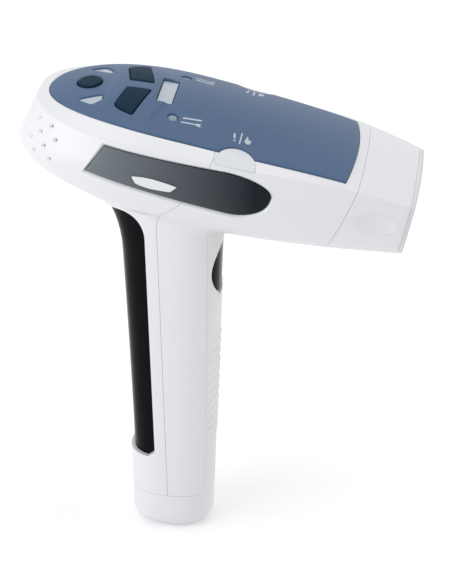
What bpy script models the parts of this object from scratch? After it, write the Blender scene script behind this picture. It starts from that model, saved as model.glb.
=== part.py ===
"""Hand-held light hair remover: a pistol-shaped housing with a plug-in lamp cartridge.

All sizes are in metres. The origin is the middle of the handle's base, +X points to the lamp and
+Z runs up the handle. The head has its own frame, pitched nose-down about a datum above the handle:
u runs along the head to the lamp, y across it and w out of its top. Left is +Y.
"""

import math
from typing import NamedTuple

import bmesh
import bpy
import numpy as np
from mathutils import Vector

# Overall sizes
HEAD_FRONT = 0.0944
HEAD_REAR = 0.0615
HEAD_WIDTH = 0.080
OVERALL_HEIGHT = 0.1975
HEAD_PITCH = math.radians(12.0)

# Shared fits and walls
GAP = 0.0003
WALL = 0.0026
COLLAR_WALL = 0.0019
FAR = 0.120
SHARP_ANGLE = math.radians(28.0)

# Top of the head
CROWN_TOP = 0.0211
CROWN_U = 0.010
CROWN_REAR_FALL = 0.0114
CROWN_REAR_POWER = 2.5
CROWN_FRONT_FALL = 0.0071
CROWN_RISE_MID = 0.0053
CROWN_RISE_FRONT = 0.0024
CROWN_EASE_U = 0.015
NOSE_POWER = 2.1
FLANK_NOSE_POWER = 2.42
TAPER_POWER = 1.8

# Flanks of the head
BULGE_HEIGHT = 0.002
BULGE_TAIL_DROP = 0.0105
RIM_STEP = 0.0036
RIM_TAIL = 0.0035
RIM_HEIGHT = 0.0125
RIM_CLIMB = 0.058
RIM_BEND = -0.20
RIM_LEAST = 0.0004
BEVEL_RUN = 0.0041
BEVEL_TAIL_RUN = 0.0027
BELLY_DEPTH = 0.0235
BELLY_FRONT_DEPTH = 0.0124
BELLY_POWER = 1.6
BELLY_TAIL = 0.019
BELLY_TAIL_RISE = 0.004
BELLY_HALF = 0.014
BELLY_FRONT_HALF = 0.012
FRONT_TAPER = 0.0106
FRONT_HALF = HEAD_WIDTH / 2 - FRONT_TAPER
RIM_FRONT_STEP = 0.0030
BEVEL_FRONT_RUN = 0.0010
FRONT_BOW = 0.0006
BOW_START_U = HEAD_FRONT - 0.014
FLANK_POWER = 1.25
TAIL_SLIMNESS = 0.4

# Handle
HANDLE_FRONT_BASE = 0.0158
HANDLE_FRONT_TOP = 0.0183
HANDLE_REAR_BASE = 0.0174
HANDLE_REAR_TOP = 0.0237
HANDLE_REAR_POWER = 1.3
HANDLE_HALF_BASE = 0.0140
HANDLE_HALF_TOP = 0.0170
HANDLE_TOP_DROP = 0.0428
HANDLE_POWER = 2.5
NECK_FRONT_DROP = 0.0308
NECK_REAR_DROP = 0.0475
NECK_FRONT_U = 0.027
BLEND_PULL = 0.42
BASE_FILLET = 0.0065

# Facets of the body
NOSE_STEPS = 8
NECK_STEPS = 3
FRONT_STEPS = 5
BEVEL_STEPS = 1
UPPER_STEPS = 2
LOWER_STEPS = 5
TOP_STEPS = 6
BOTTOM_STEPS = 4
NECK_REAR_STEPS = 2
NECK_WALL_STEPS = 1
BLEND_STEPS = 5
HANDLE_STEPS = 4
FILLET_STEPS = 3
ROUND_STEPS = 12

# Seams of the housing
CAP_HEIGHT = 0.0170
CAP_COLLAR = 0.005
SEAM_BASE_X = -0.0026
SEAM_NECK_X = -0.0063
SEAM_NECK_DROP = 0.0270
SEAM_FOOT_U = 0.0008
SEAM_FOOT_W = -0.0149
SEAM_FLANK_U = 0.0064
SEAM_FLANK_W = -0.0066
SEAM_RIM_U = 0.0147
SEAM_STEPS = 3
CARTRIDGE_LENGTH = 0.0266
CARTRIDGE_SEAM_U = HEAD_FRONT - CARTRIDGE_LENGTH
CARTRIDGE_SEAM_TILT = math.radians(12.6)
CARTRIDGE_COLLAR = 0.008
SOCKET_FRONT_U = CARTRIDGE_SEAM_U - 0.0134
SOCKET_THICKNESS = 0.0050

# Control panel
PANEL_MARGIN = 0.0011
PANEL_FRONT_U = CARTRIDGE_SEAM_U + 0.0003
PANEL_FRONT_BOW = 0.0022
PANEL_THICKNESS = 0.0013
PANEL_PROUD = 0.0007
PANEL_LEDGE = 0.004
LENS_RECESS = 0.0006

# Buttons and their travel
BUTTON_PROUD = 0.0009
BUTTON_TRAVEL = 0.0006
BUTTON_FLANGE = 0.0010
BUTTON_FLANGE_THICKNESS = 0.0010
BUTTON_STEM_RADIUS = 0.0018
POWER_U = 0.0222 - HEAD_REAR
POWER_HALF_LENGTH = 0.0045
POWER_HALF_WIDTH = 0.0054
LEVEL_INNER_Y = 0.0032
LEVEL_OUTER_Y = HEAD_WIDTH / 2 - 0.0174
LEVEL_SLANT = 0.0034
LEVEL_CORNER = 0.0015
LEVEL_REAR_U = 0.0373 - HEAD_REAR
LEVEL_FRONT_U = 0.0463 - HEAD_REAR
LEVEL_SWEEP_REAR = 0.0025
LEVEL_SWEEP_FRONT = 0.0042
LEVEL_STEM_U = 0.0405 - HEAD_REAR
LEVEL_STEM_Y = 0.0110

# Lenses in the panel
INDICATOR_TIP_U = 0.0198 - HEAD_REAR
INDICATOR_TIP_Y = 0.0142
INDICATOR_FRONT_U = 0.0292 - HEAD_REAR
INDICATOR_INNER_Y = 0.0100
INDICATOR_OUTER_Y = 0.0172
WINDOW_REAR_U = 0.0495 - HEAD_REAR
WINDOW_FRONT_U = 0.0555 - HEAD_REAR
WINDOW_HALF = 0.0100
LED_U = 0.0575 - HEAD_REAR
LED_Y = HEAD_WIDTH / 2 - 0.0215
LED_RADIUS = 0.0018
STATUS_U = 0.0236
STATUS_Y = HEAD_WIDTH / 2 - 0.0055
STATUS_RADIUS = 0.0078
STATUS_LOW_W = 0.0138
STATUS_THICKNESS = 0.0015

# Side inlays, in the head's side view
INLAY_RECESS = 0.0004
INLAY_THICKNESS = 0.0014
INLAY_REAR_U = 0.0346 - HEAD_REAR
INLAY_REAR_SWEEP = 0.0052
INLAY_FRONT_U = 0.0407
INLAY_TOP_W = 0.0111
INLAY_REAR_TOP_W = 0.0091
INLAY_LOW_W = -0.0043
INLAY_REAR_LOW_W = -0.0029
INLAY_NOSE_W = 0.0058
INLAY_TOP_RUN = 0.0180
INLAY_LOW_RUN = 0.0150
INLAY_INSIDE_Y = 0.020

# Grips
GRIP_THICKNESS = 0.0013
BACK_GRIP_BASE_Z = 0.0355
BACK_GRIP_TOP_DROP = 0.0233
BACK_GRIP_EDGE_BASE_X = -0.0073
BACK_GRIP_EDGE_TOP_X = -0.0113
BACK_GRIP_CORNER_RUN = 0.0105
BACK_GRIP_CORNER_DROP = 0.0125
BACK_GRIP_CUT = 0.0027
FINGER_GRIP_EDGE_X = 0.0137
FINGER_GRIP_BASE_Z = CAP_HEIGHT + 0.0040
FINGER_GRIP_TOP_DROP = 0.0330

# Trigger, hinged above its slot behind the handle's front
TRIGGER_HALF = 0.0106
TRIGGER_HALF_HEIGHT = 0.0118
TRIGGER_MIDDLE_DROP = 0.0510
TRIGGER_FLAT_TURN = math.radians(60.0)
TRIGGER_FOOT_GAP = 0.0012
TRIGGER_RECESS = 0.0004
TRIGGER_THICKNESS = 0.0040
TRIGGER_SLOT_X = 0.006
TRIGGER_SWING = math.radians(5.0)
TRIGGER_PIVOT_RISE = 0.0046
TRIGGER_PIVOT_DEPTH = 0.0075
TRIGGER_BARREL_RADIUS = 0.0027
TRIGGER_BARREL_HALF = 0.0058
TRIGGER_PIN_RADIUS = 0.0012
TRIGGER_EAR_THICKNESS = 0.0022
TRIGGER_EAR_RADIUS = 0.0034
TRIGGER_ARM_HALF = 0.0020
TRIGGER_ARM_DROP = 0.0045
TRIGGER_ARM_HALF_WIDTH = 0.0024
TRIGGER_NUB_DROP = 0.0150
TRIGGER_NUB_HALF = 0.0014
SWITCH_DEPTH = 0.0062
SWITCH_HALF_WIDTH = 0.0030
SWITCH_HALF_HEIGHT = 0.0060
SWITCH_BRACKET_HALF_WIDTH = 0.0024
SWITCH_BRACKET_HALF_HEIGHT = 0.0030

# Control board under the panel
BOARD_THICKNESS = 0.0016
CONTROL_BOARD_INSET = 0.0085
CONTROL_BOARD_FRONT_U = 0.0670 - HEAD_REAR
CONTROL_BOARD_TOP_W = 0.0084
TACT_HALF = 0.0030
TACT_HEIGHT = 0.0018
TACT_PLUNGER_RADIUS = 0.0015
TACT_PLUNGER_HEIGHT = 0.0008
POST_RADIUS = 0.0018
PEG_RADIUS = 0.0009
PEG_LENGTH = 0.0022
REAR_POST_U = 0.0320 - HEAD_REAR
REAR_POST_Y = 0.0070
FRONT_POST_U = 0.0625 - HEAD_REAR
FRONT_POST_Y = 0.0130

# Main board and what stands on it
MAIN_BOARD_REAR_U = 0.0230
MAIN_BOARD_FRONT_U = SOCKET_FRONT_U - SOCKET_THICKNESS - 0.0030
MAIN_BOARD_HALF = 0.0190
MAIN_BOARD_TOP_W = -0.0075
MAIN_POST_MARGIN = 0.0040
MAIN_POST_Y = 0.0100
TRANSFORMER_U = (MAIN_BOARD_REAR_U + MAIN_BOARD_FRONT_U) / 2
TRANSFORMER_HALF_LENGTH = 0.0070
TRANSFORMER_HALF_WIDTH = 0.0080
TRANSFORMER_HEIGHT = 0.0100
TRANSFORMER_STEP = 0.0022

# Storage capacitor in the handle
CAPACITOR_RADIUS = 0.0100
CAPACITOR_HEADROOM = 0.0100
CAPACITOR_GROOVE = 0.0006
CAPACITOR_X = -0.0010
SHELF_Z = BACK_GRIP_BASE_Z + 0.0140
SHELF_THICKNESS = 0.0020

# Cooling fan behind the vents
FAN_SIZE = 0.0216
FAN_DEPTH = 0.0090
FAN_U = 0.0230 - HEAD_REAR
FAN_W = -0.0051
FAN_BORE_RADIUS = 0.0100
FAN_BLADE_RADIUS = 0.0093
FAN_HUB_RADIUS = 0.0050
FAN_HUB_DEPTH = 0.0060
FAN_ARM_HALF = 0.0010
FAN_ARM_DEPTH = 0.0014
FAN_BOSS_RADIUS = 0.0050
FAN_SHAFT_RADIUS = 0.0010
FAN_SHAFT_LENGTH = 0.0012
FAN_BLADES = 7
FAN_BLADE_THICKNESS = 0.0008
FAN_BLADE_REACH = 0.0024
FAN_BLADE_ROOT = 0.0038
FAN_BLADE_PITCH = math.radians(40.0)
FAN_RAIL_THICKNESS = 0.0018
FAN_RAIL_HEIGHT = 0.0160
VENT_RADIUS = 0.0009
VENT_START = 0.0235
VENT_COLUMNS = 9
VENT_ROWS = 4
VENT_SPREAD = math.radians(15.5)
VENT_LOW_W = -0.0036
VENT_DIP = 0.0038
VENT_ROW_STEP = 0.0040
VENT_SIDES = 6

# Housing screws through the handle
SCREW_LOWER_Z = BACK_GRIP_BASE_Z + 0.0070
SCREW_UPPER_DROP = 0.0758
SCREW_POST_RADIUS = 0.0036
SCREW_HEAD_RADIUS = 0.0025
SCREW_HEAD_HEIGHT = 0.0018
SCREW_RADIUS = 0.0012
SCREW_REACH = 0.0090

# Power inlet in the base
JACK_X = -0.0050
JACK_RADIUS = 0.0040
JACK_BORE_RADIUS = 0.0029
JACK_BORE_DEPTH = 0.0085
JACK_LENGTH = 0.0115
JACK_PIN_RADIUS = 0.0010
JACK_FLANGE_RADIUS = 0.0048
JACK_FLANGE_THICKNESS = 0.0014
JACK_SET_BACK = 0.0008

# Lamp cartridge
BEZEL_DEPTH = 0.0014
BEZEL_INSET = 0.0007
FRONT_WALL = 0.0030
WINDOW_W = 0.0005
LAMP_HALF_WIDTH = FRONT_HALF - 0.0147
LAMP_HALF_HEIGHT = 0.0065
LAMP_CORNER = 0.0030
GLASS_LAP = 0.0018
GLASS_THICKNESS = 0.0020
DIMPLE_U = HEAD_FRONT - 0.0135
DIMPLE_W = 0.0042
DIMPLE_HALF_LENGTH = 0.0112
DIMPLE_HALF_HEIGHT = 0.0056
DIMPLE_DEPTH = 0.0012
REFLECTOR_DEPTH = 0.0120
REFLECTOR_THICKNESS = 0.0008
REFLECTOR_HALF_HEIGHT = 0.0060
REFLECTOR_HALF_WIDTH = LAMP_HALF_WIDTH - 0.0005
REFLECTOR_STEPS = 6
TUBE_RADIUS = 0.0025
TUBE_SET_BACK = 0.0060
TUBE_END_LAP = 0.0030
HOLDER_THICKNESS = 0.0040
HOLDER_HALF_HEIGHT = 0.0045
HOLDER_DEPTH = 0.0120
CARRIER_THICKNESS = 0.0022
CARRIER_SET_BACK = 0.0030
CONTACT_Y = 0.0100
CONTACT_RADIUS = 0.0015
CONTACT_HEAD_RADIUS = 0.0024
CONTACT_HEAD_HEIGHT = 0.0010
CONTACT_REACH = 0.0030


class Outline(NamedTuple):
    """Plan outline of the head at one level, with how it draws in as the body is inset."""

    tip: float
    half_mid: float
    half_front: float
    inset_in: float
    inset_down: float
    power: float = NOSE_POWER


BULGE_HALF = HEAD_WIDTH / 2
FRONT_FLAT_U = HEAD_FRONT - FRONT_BOW
RIM_TIP = -HEAD_REAR + RIM_TAIL
EDGE_TIP = RIM_TIP + BEVEL_TAIL_RUN
BULGE = Outline(-HEAD_REAR, BULGE_HALF, FRONT_HALF, 1.0, 0.0, FLANK_NOSE_POWER)
RIM = Outline(
    RIM_TIP,
    BULGE_HALF - RIM_STEP,
    FRONT_HALF - RIM_FRONT_STEP,
    0.88,
    0.55,
    FLANK_NOSE_POWER,
)
EDGE = Outline(
    EDGE_TIP,
    RIM.half_mid - BEVEL_RUN,
    RIM.half_front - BEVEL_FRONT_RUN,
    0.4,
    1.0,
)
BELLY = Outline(-HEAD_REAR + BELLY_TAIL, BELLY_HALF, BELLY_FRONT_HALF, 0.3, -1.0)


def ease(value, start, end):
    """Smooth step from 0 at start to 1 at end."""
    share = min(1.0, max(0.0, (value - start) / (end - start)))
    return share * share * (3.0 - 2.0 * share)


def crown_height(u):
    """Height of the head's crest line."""
    if u < CROWN_U:
        share = (CROWN_U - u) / (CROWN_U - EDGE_TIP)
        return CROWN_TOP - CROWN_REAR_FALL * share**CROWN_REAR_POWER
    return CROWN_TOP - CROWN_FRONT_FALL * ((u - CROWN_U) / (HEAD_FRONT - CROWN_U)) ** 2


def top_height(u, y):
    """Height of the crowned top surface."""
    rise = CROWN_RISE_MID + (CROWN_RISE_FRONT - CROWN_RISE_MID) * ease(u, CROWN_EASE_U, HEAD_FRONT)
    return crown_height(u) - rise * (y / EDGE.half_mid) ** 2


def rim_height(u):
    """Height of the crease between the bevel and the flank, where the top's edge lies above it."""
    return RIM_HEIGHT + RIM_CLIMB * u + RIM_BEND * u * u


def bulge_height(u):
    """Height at which the flank is widest."""
    return BULGE_HEIGHT - BULGE_TAIL_DROP * (max(-u, 0.0) / HEAD_REAR) ** 2


def belly_height(u):
    """Height of the underside."""
    climb = (BELLY_DEPTH - BELLY_FRONT_DEPTH) * (max(u, 0.0) / HEAD_FRONT) ** BELLY_POWER
    tail = BELLY_TAIL_RISE * (max(-u, 0.0) / -BELLY.tip) ** 2
    return -BELLY_DEPTH + climb + tail


def crest_rise():
    """How far the highest point of the pitched head stands above the datum."""
    places = np.linspace(EDGE_TIP, HEAD_FRONT, 400)
    return max(crown_height(u) * math.cos(HEAD_PITCH) - u * math.sin(HEAD_PITCH) for u in places)


# Heights that follow from the overall height
DATUM_Z = OVERALL_HEIGHT - crest_rise() - PANEL_PROUD - BUTTON_PROUD
HANDLE_TOP_Z = DATUM_Z - HANDLE_TOP_DROP
NECK_FRONT_Z = DATUM_Z - NECK_FRONT_DROP
NECK_REAR_Z = DATUM_Z - NECK_REAR_DROP
SCREW_UPPER_Z = DATUM_Z - SCREW_UPPER_DROP
CAPACITOR_TOP_Z = SCREW_UPPER_Z - SCREW_POST_RADIUS - CAPACITOR_HEADROOM


def head_place(u, y, w):
    """World place of a point in the head's frame."""
    x = u * math.cos(HEAD_PITCH) + w * math.sin(HEAD_PITCH)
    z = DATUM_Z - u * math.sin(HEAD_PITCH) + w * math.cos(HEAD_PITCH)
    return Vector((x, y, z))


def head_skin(u, y, w):
    """World place of a skin point, with the front face bowed forwards."""
    across = 1.0 - min(1.0, (y / FRONT_HALF) ** 2)
    return head_place(u + FRONT_BOW * ease(u, BOW_START_U, FRONT_FLAT_U) * across, y, w)


def in_plan(a, b, c):
    """Outline in u and y, depth along w."""
    return head_place(a, b, c)


def in_flank(a, b, c):
    """Outline in u and w, depth along y."""
    return head_place(a, c, b)


def along_head(a, b, c):
    """Outline in y and w, depth along u."""
    return head_place(c, a, b)


def in_side(a, b, c):
    """Outline in x and z, depth along y."""
    return Vector((a, c, b))


def in_front(a, b, c):
    """Outline in y and z, depth along x."""
    return Vector((c, a, b))


def on_floor(a, b, c):
    """Outline in x and y, depth along z."""
    return Vector((a, b, c))


def make_object(name, bm):
    """Turn a bmesh into an object with its faces pointing out."""
    bmesh.ops.remove_doubles(bm, verts=bm.verts, dist=1e-7)
    bmesh.ops.recalc_face_normals(bm, faces=bm.faces)
    mesh = bpy.data.meshes.new(name)
    bm.to_mesh(mesh)
    bm.free()
    item = bpy.data.objects.new(name, mesh)
    bpy.context.collection.objects.link(item)
    return item


def prism(outline, place, low, high, name="cutter"):
    """Closed prism of an outline between two depths."""
    bm = bmesh.new()
    floor = [bm.verts.new(place(a, b, low)) for a, b in outline]
    roof = [bm.verts.new(place(a, b, high)) for a, b in outline]
    bm.faces.new(floor)
    bm.faces.new(reversed(roof))
    count = len(outline)
    for index in range(count):
        follow = (index + 1) % count
        bm.faces.new((floor[index], roof[index], roof[follow], floor[follow]))
    return make_object(name, bm)


def rectangle(a0, a1, b0, b1):
    """Outline of a rectangle."""
    return [(a0, b0), (a1, b0), (a1, b1), (a0, b1)]


def ellipse(a, b, half_a, half_b=None, steps=ROUND_STEPS):
    """Outline of an ellipse, or of a circle where one radius is given."""
    half_b = half_a if half_b is None else half_b
    turns = [math.tau * (index + 0.5) / steps for index in range(steps)]
    return [(a + half_a * math.cos(turn), b + half_b * math.sin(turn)) for turn in turns]


def rounded(corners, radius, steps=3):
    """Outline through corners with each one rounded by an arc."""
    points = []
    count = len(corners)
    for index in range(count):
        here = Vector(corners[index])
        back = (Vector(corners[index - 1]) - here).normalized()
        ahead = (Vector(corners[(index + 1) % count]) - here).normalized()
        half_angle = back.angle(ahead) / 2
        reach = radius / math.tan(half_angle)
        centre = here + (back + ahead).normalized() * (radius / math.sin(half_angle))
        start = here + back * reach - centre
        end = here + ahead * reach - centre
        turn = start.angle_signed(end)
        for step in range(steps + 1):
            angle = -turn * step / steps
            spoke = (
                start.x * math.cos(angle) - start.y * math.sin(angle),
                start.x * math.sin(angle) + start.y * math.cos(angle),
            )
            points.append((centre.x + spoke[0], centre.y + spoke[1]))
    return points


def mirrored(outline):
    """The same outline on the other side of the head."""
    return [(a, -b) for a, b in reversed(outline)]


def combine(target, cutter, operation):
    """Apply one exact boolean and drop the cutter."""
    modifier = target.modifiers.new(operation.title(), "BOOLEAN")
    modifier.operation = operation
    modifier.solver = "EXACT"
    modifier.object = cutter
    view = bpy.context.view_layer
    view.update()
    mesh = bpy.data.meshes.new_from_object(target.evaluated_get(view.depsgraph))
    target.modifiers.clear()
    target.data = mesh
    bpy.data.objects.remove(cutter)
    return target


def minus(target, *cutters):
    """Cut solids out of a solid."""
    for cutter in cutters:
        combine(target, cutter, "DIFFERENCE")
    return target


def plus(target, *others):
    """Join solids to a solid."""
    for other in others:
        combine(target, other, "UNION")
    return target


def within(target, *limits):
    """Keep what of a solid lies inside others."""
    for limit in limits:
        combine(target, limit, "INTERSECT")
    return target


def duplicate(item):
    """A copy with its own mesh."""
    twin = item.copy()
    twin.data = item.data.copy()
    bpy.context.collection.objects.link(twin)
    return twin


def plan_point(outline, angle, share, inset):
    """Point of a plan outline, by its angle round the nose or its share of the side."""
    draw = inset * outline.inset_in
    half = outline.half_mid - draw
    if share == 0.0:
        power = 2.0 / outline.power
        u = (outline.tip + draw) * max(math.cos(angle), 0.0) ** power
        return u, half * math.sin(angle) ** power
    half_front = outline.half_front - draw
    return (FRONT_FLAT_U - inset) * share, half - (half - half_front) * share**TAPER_POWER


def stations():
    """Angles round the nose, then shares along the side, from the rear tip to the front."""
    neck = NECK_FRONT_U / FRONT_FLAT_U
    nose = [(math.pi / 2 * step / NOSE_STEPS, 0.0) for step in range(NOSE_STEPS + 1)]
    side = [neck * (step + 1) / NECK_STEPS for step in range(NECK_STEPS)]
    side += [neck + (1 - neck) * (step + 1) / FRONT_STEPS for step in range(FRONT_STEPS)]
    return nose + [(math.pi / 2, share) for share in side]


def flank_points(angle, share, inset):
    """Points down one flank, from the edge of the top to the belly."""
    edge = Vector(plan_point(EDGE, angle, share, inset))
    rim = Vector(plan_point(RIM, angle, share, inset))
    bulge = Vector(plan_point(BULGE, angle, share, inset))
    belly = Vector(plan_point(BELLY, angle, share, inset))
    edge_w = top_height(edge.x, edge.y) - inset
    rim_w = min(rim_height(rim.x) - inset * RIM.inset_down, edge_w - RIM_LEAST)
    bulge_w = bulge_height(bulge.x)
    belly_w = belly_height(belly.x) + inset
    slimness = 1 + TAIL_SLIMNESS * math.cos(angle)
    points = []
    for step in range(BEVEL_STEPS):
        flat = edge.lerp(rim, step / BEVEL_STEPS)
        points.append((flat.x, flat.y, edge_w + (rim_w - edge_w) * step / BEVEL_STEPS))
    for step in range(UPPER_STEPS):
        share_down = step / UPPER_STEPS
        flat = rim.lerp(bulge, 1 - (1 - share_down) ** FLANK_POWER)
        points.append((flat.x, flat.y, rim_w + (bulge_w - rim_w) * share_down))
    for step in range(LOWER_STEPS + 1):
        turn = math.pi / 2 * step / LOWER_STEPS
        flat = belly.lerp(bulge, max(math.cos(turn), 0.0) ** slimness)
        points.append((flat.x, flat.y, bulge_w + (belly_w - bulge_w) * math.sin(turn)))
    return points


def ring_points(angle, share, inset):
    """Closed ring of skin points at one station: over the top, down the left, back under."""
    flank = flank_points(angle, share, inset)
    edge_u, edge_y, _ = flank[0]
    belly_u, belly_y, belly_w = flank[-1]
    ring = []
    for step in range(TOP_STEPS):
        y = edge_y * (2 * step / TOP_STEPS - 1)
        ring.append((edge_u, y, top_height(edge_u, y) - inset))
    ring += flank[:-1]
    for step in range(BOTTOM_STEPS):
        ring.append((belly_u, belly_y * (1 - 2 * step / BOTTOM_STEPS), belly_w))
    ring += [(u, -y, w) for u, y, w in reversed(flank[1:])]
    return [head_skin(*point) for point in ring]


def handle_point(turn, z, inset):
    """Point of the handle's section at a height, at a turn from the front."""
    rise = max(z, 0.0) / HANDLE_TOP_Z
    front = HANDLE_FRONT_BASE + (HANDLE_FRONT_TOP - HANDLE_FRONT_BASE) * rise - inset
    swell = (HANDLE_REAR_TOP - HANDLE_REAR_BASE) * rise**HANDLE_REAR_POWER
    rear = -HANDLE_REAR_BASE - swell + inset
    half = HANDLE_HALF_BASE + (HANDLE_HALF_TOP - HANDLE_HALF_BASE) * rise - inset
    power = 2.0 / HANDLE_POWER
    cosine, sine = math.cos(turn), math.sin(turn)
    x = (front + rear) / 2 + (front - rear) / 2 * math.copysign(abs(cosine) ** power, cosine)
    return Vector((x, half * math.copysign(abs(sine) ** power, sine), z))


def neck_height(turn):
    """Height where the handle starts to flare into the head."""
    return (NECK_FRONT_Z + NECK_REAR_Z) / 2 + (NECK_FRONT_Z - NECK_REAR_Z) / 2 * math.cos(turn)


def neck_loop():
    """Row and column pairs round the neck's hole in the underside."""
    flank = BEVEL_STEPS + UPPER_STEPS + LOWER_STEPS
    left = TOP_STEPS + flank - NECK_WALL_STEPS
    right = TOP_STEPS + flank + BOTTOM_STEPS + NECK_WALL_STEPS
    rear, front = NECK_REAR_STEPS, NOSE_STEPS + NECK_STEPS
    loop = [(front, column) for column in range(left, right)]
    loop += [(row, right) for row in range(front, rear, -1)]
    loop += [(rear, column) for column in range(right, left, -1)]
    return loop + [(row, left) for row in range(rear, front)]


def along_skin(rings, row, column, way):
    """Direction of a way, laid flat on the skin at one point."""
    along = rings[row + 1][column] - rings[row - 1][column]
    across = rings[row][column + 1] - rings[row][column - 1]
    normal = along.cross(across).normalized()
    return (way - normal * way.dot(normal)).normalized()


def flare(bm, rings, verts, inset):
    """Columns from the neck's hole down to the handle, and the handle down to its base."""
    pairs = neck_loop()
    spots = [rings[row][column] for row, column in pairs]
    low_x, high_x = min(p.x for p in spots), max(p.x for p in spots)
    high_y = max(p.y for p in spots)
    columns = []
    for (row, place), spot in zip(pairs, spots):
        reach = (spot.x - (low_x + high_x) / 2) / ((high_x - low_x) / 2)
        turn = math.atan2(spot.y / high_y, reach)
        top = neck_height(turn)
        foot = handle_point(turn, top, inset)
        rise = (foot - handle_point(turn, top - GAP, inset)).normalized()
        run = along_skin(rings, row, place, foot - spot)
        pull = (spot - foot).length * BLEND_PULL
        column = [verts[row][place]]
        for step in range(1, BLEND_STEPS + 1):
            t = step / BLEND_STEPS
            a, b, c, d = (1 - t) ** 3, 3 * t * (1 - t) ** 2, 3 * t * t * (1 - t), t**3
            bend = spot * a + (spot + run * pull) * b + (foot + rise * pull) * c + foot * d
            column.append(bm.verts.new(bend))
        base = inset + BASE_FILLET
        for step in range(1, HANDLE_STEPS + 1):
            z = top + (base - top) * step / HANDLE_STEPS
            column.append(bm.verts.new(handle_point(turn, z, inset)))
        for step in range(1, FILLET_STEPS + 1):
            bend = math.pi / 2 * step / FILLET_STEPS
            z = inset + BASE_FILLET * (1 - math.sin(bend))
            draw = inset + BASE_FILLET * (1 - math.cos(bend))
            column.append(bm.verts.new(handle_point(turn, z, draw)))
        columns.append(column)
    for index, column in enumerate(columns):
        follow = columns[(index + 1) % len(columns)]
        for step in range(len(column) - 1):
            bm.faces.new((column[step], follow[step], follow[step + 1], column[step + 1]))
    bm.faces.new([column[-1] for column in columns])


def body(inset):
    """The whole outer form, head and handle in one skin, drawn in by an inset."""
    places = stations()
    rings = [ring_points(angle, share, inset) for angle, share in places]
    count = len(rings[0])
    flank = BEVEL_STEPS + UPPER_STEPS + LOWER_STEPS
    bm = bmesh.new()
    tip = [bm.verts.new(head_skin(*point)) for point in flank_points(0.0, 0.0, inset)]
    first = [tip[0]] * TOP_STEPS + tip[:-1] + [tip[-1]] * BOTTOM_STEPS + tip[:0:-1]
    verts = [first] + [[bm.verts.new(point) for point in ring] for ring in rings[1:]]
    left = TOP_STEPS + flank - NECK_WALL_STEPS
    right = TOP_STEPS + flank + BOTTOM_STEPS + NECK_WALL_STEPS
    for row in range(len(rings) - 1):
        in_neck = NECK_REAR_STEPS <= row < NOSE_STEPS + NECK_STEPS
        for column in range(count):
            if in_neck and left <= column < right:
                continue
            follow = (column + 1) % count
            corners = (
                verts[row][column],
                verts[row][follow],
                verts[row + 1][follow],
                verts[row + 1][column],
            )
            corners = list(dict.fromkeys(corners))
            if len(corners) > 2:
                bm.faces.new(corners)
    nose = bm.verts.new(head_skin(FRONT_FLAT_U - inset, 0.0, WINDOW_W))
    for column in range(count):
        bm.faces.new((verts[-1][column], verts[-1][(column + 1) % count], nose))
    flare(bm, rings, verts, inset)
    bmesh.ops.triangulate(bm, faces=bm.faces, quad_method="FIXED")
    return make_object("body", bm)


def shifted(points, distance):
    """A polyline moved sideways, to its left for a positive distance."""
    moved = []
    for index, point in enumerate(points):
        ahead = Vector(points[min(index + 1, len(points) - 1)])
        back = Vector(points[max(index - 1, 0)])
        run = (ahead - back).normalized()
        moved.append((point[0] - run.y * distance, point[1] + run.x * distance))
    return moved


def smooth_line(knots, steps):
    """Points on a smooth curve through knots."""
    spots = [Vector(knot) for knot in knots]
    spots = [spots[0] * 2 - spots[1]] + spots + [spots[-1] * 2 - spots[-2]]
    points = []
    for index in range(1, len(spots) - 2):
        a, b, c, d = spots[index - 1 : index + 3]
        for step in range(steps):
            t = step / steps
            place = b * 2 + (c - a) * t + (a * 2 - b * 5 + c * 4 - d) * t * t
            place = (place + (b * 3 - a - c * 3 + d) * t**3) / 2
            points.append((place.x, place.y))
    return points + [tuple(knots[-1])]


def flat_place(u, w):
    """World x and z of a point in the head's side view."""
    place = head_place(u, 0.0, w)
    return place.x, place.z


def shell_seam():
    """Side-view line where the two shells meet, from the base cap up over the head."""
    knots = [
        (SEAM_NECK_X, DATUM_Z - SEAM_NECK_DROP),
        flat_place(SEAM_FOOT_U, SEAM_FOOT_W),
        flat_place(SEAM_FLANK_U, SEAM_FLANK_W),
        flat_place(SEAM_RIM_U, RIM_HEIGHT),
        flat_place(SEAM_RIM_U, RIM_HEIGHT + CROWN_TOP),
    ]
    return [(SEAM_BASE_X, CAP_HEIGHT)] + smooth_line(knots, SEAM_STEPS)


def cartridge_seam(offset):
    """Two points of the tilted line where the cartridge meets the front shell."""
    reach = HEAD_WIDTH
    lean = math.tan(CARTRIDGE_SEAM_TILT) * reach
    return [
        flat_place(CARTRIDGE_SEAM_U + offset + lean, reach),
        flat_place(CARTRIDGE_SEAM_U + offset - lean, -reach),
    ]


def side_region(outline):
    """Prism right across the object from a side-view outline."""
    return prism(outline, in_side, -FAR, FAR)


def rear_region(draw=0.0):
    """Space of the rear shell, drawn back from the seam."""
    seam = shifted(shell_seam(), GAP / 2 + draw)
    low, high = CAP_HEIGHT + GAP / 2, seam[-1][1]
    seam[0] = (seam[0][0], low)
    return side_region(seam + [(-FAR, high), (-FAR, low)])


def front_region(draw=0.0):
    """Space of the front shell, drawn back from the seam."""
    seam = shifted(shell_seam(), -GAP / 2 - draw)
    low = CAP_HEIGHT + GAP / 2
    seam[0] = (seam[0][0], low)
    limit = cartridge_seam(-GAP / 2)
    return side_region(seam + limit + [(limit[1][0], low)])


def ahead_of_cartridge_seam(offset):
    """Space in front of the cartridge's seam, moved along the head by an offset."""
    limit = cartridge_seam(offset)
    far_x = HEAD_FRONT + FAR
    return side_region(limit + [(far_x, limit[1][1]), (far_x, limit[0][1])])


def below(height):
    """Space under a height."""
    return side_region(rectangle(-FAR, FAR, -FAR, height))


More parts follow.
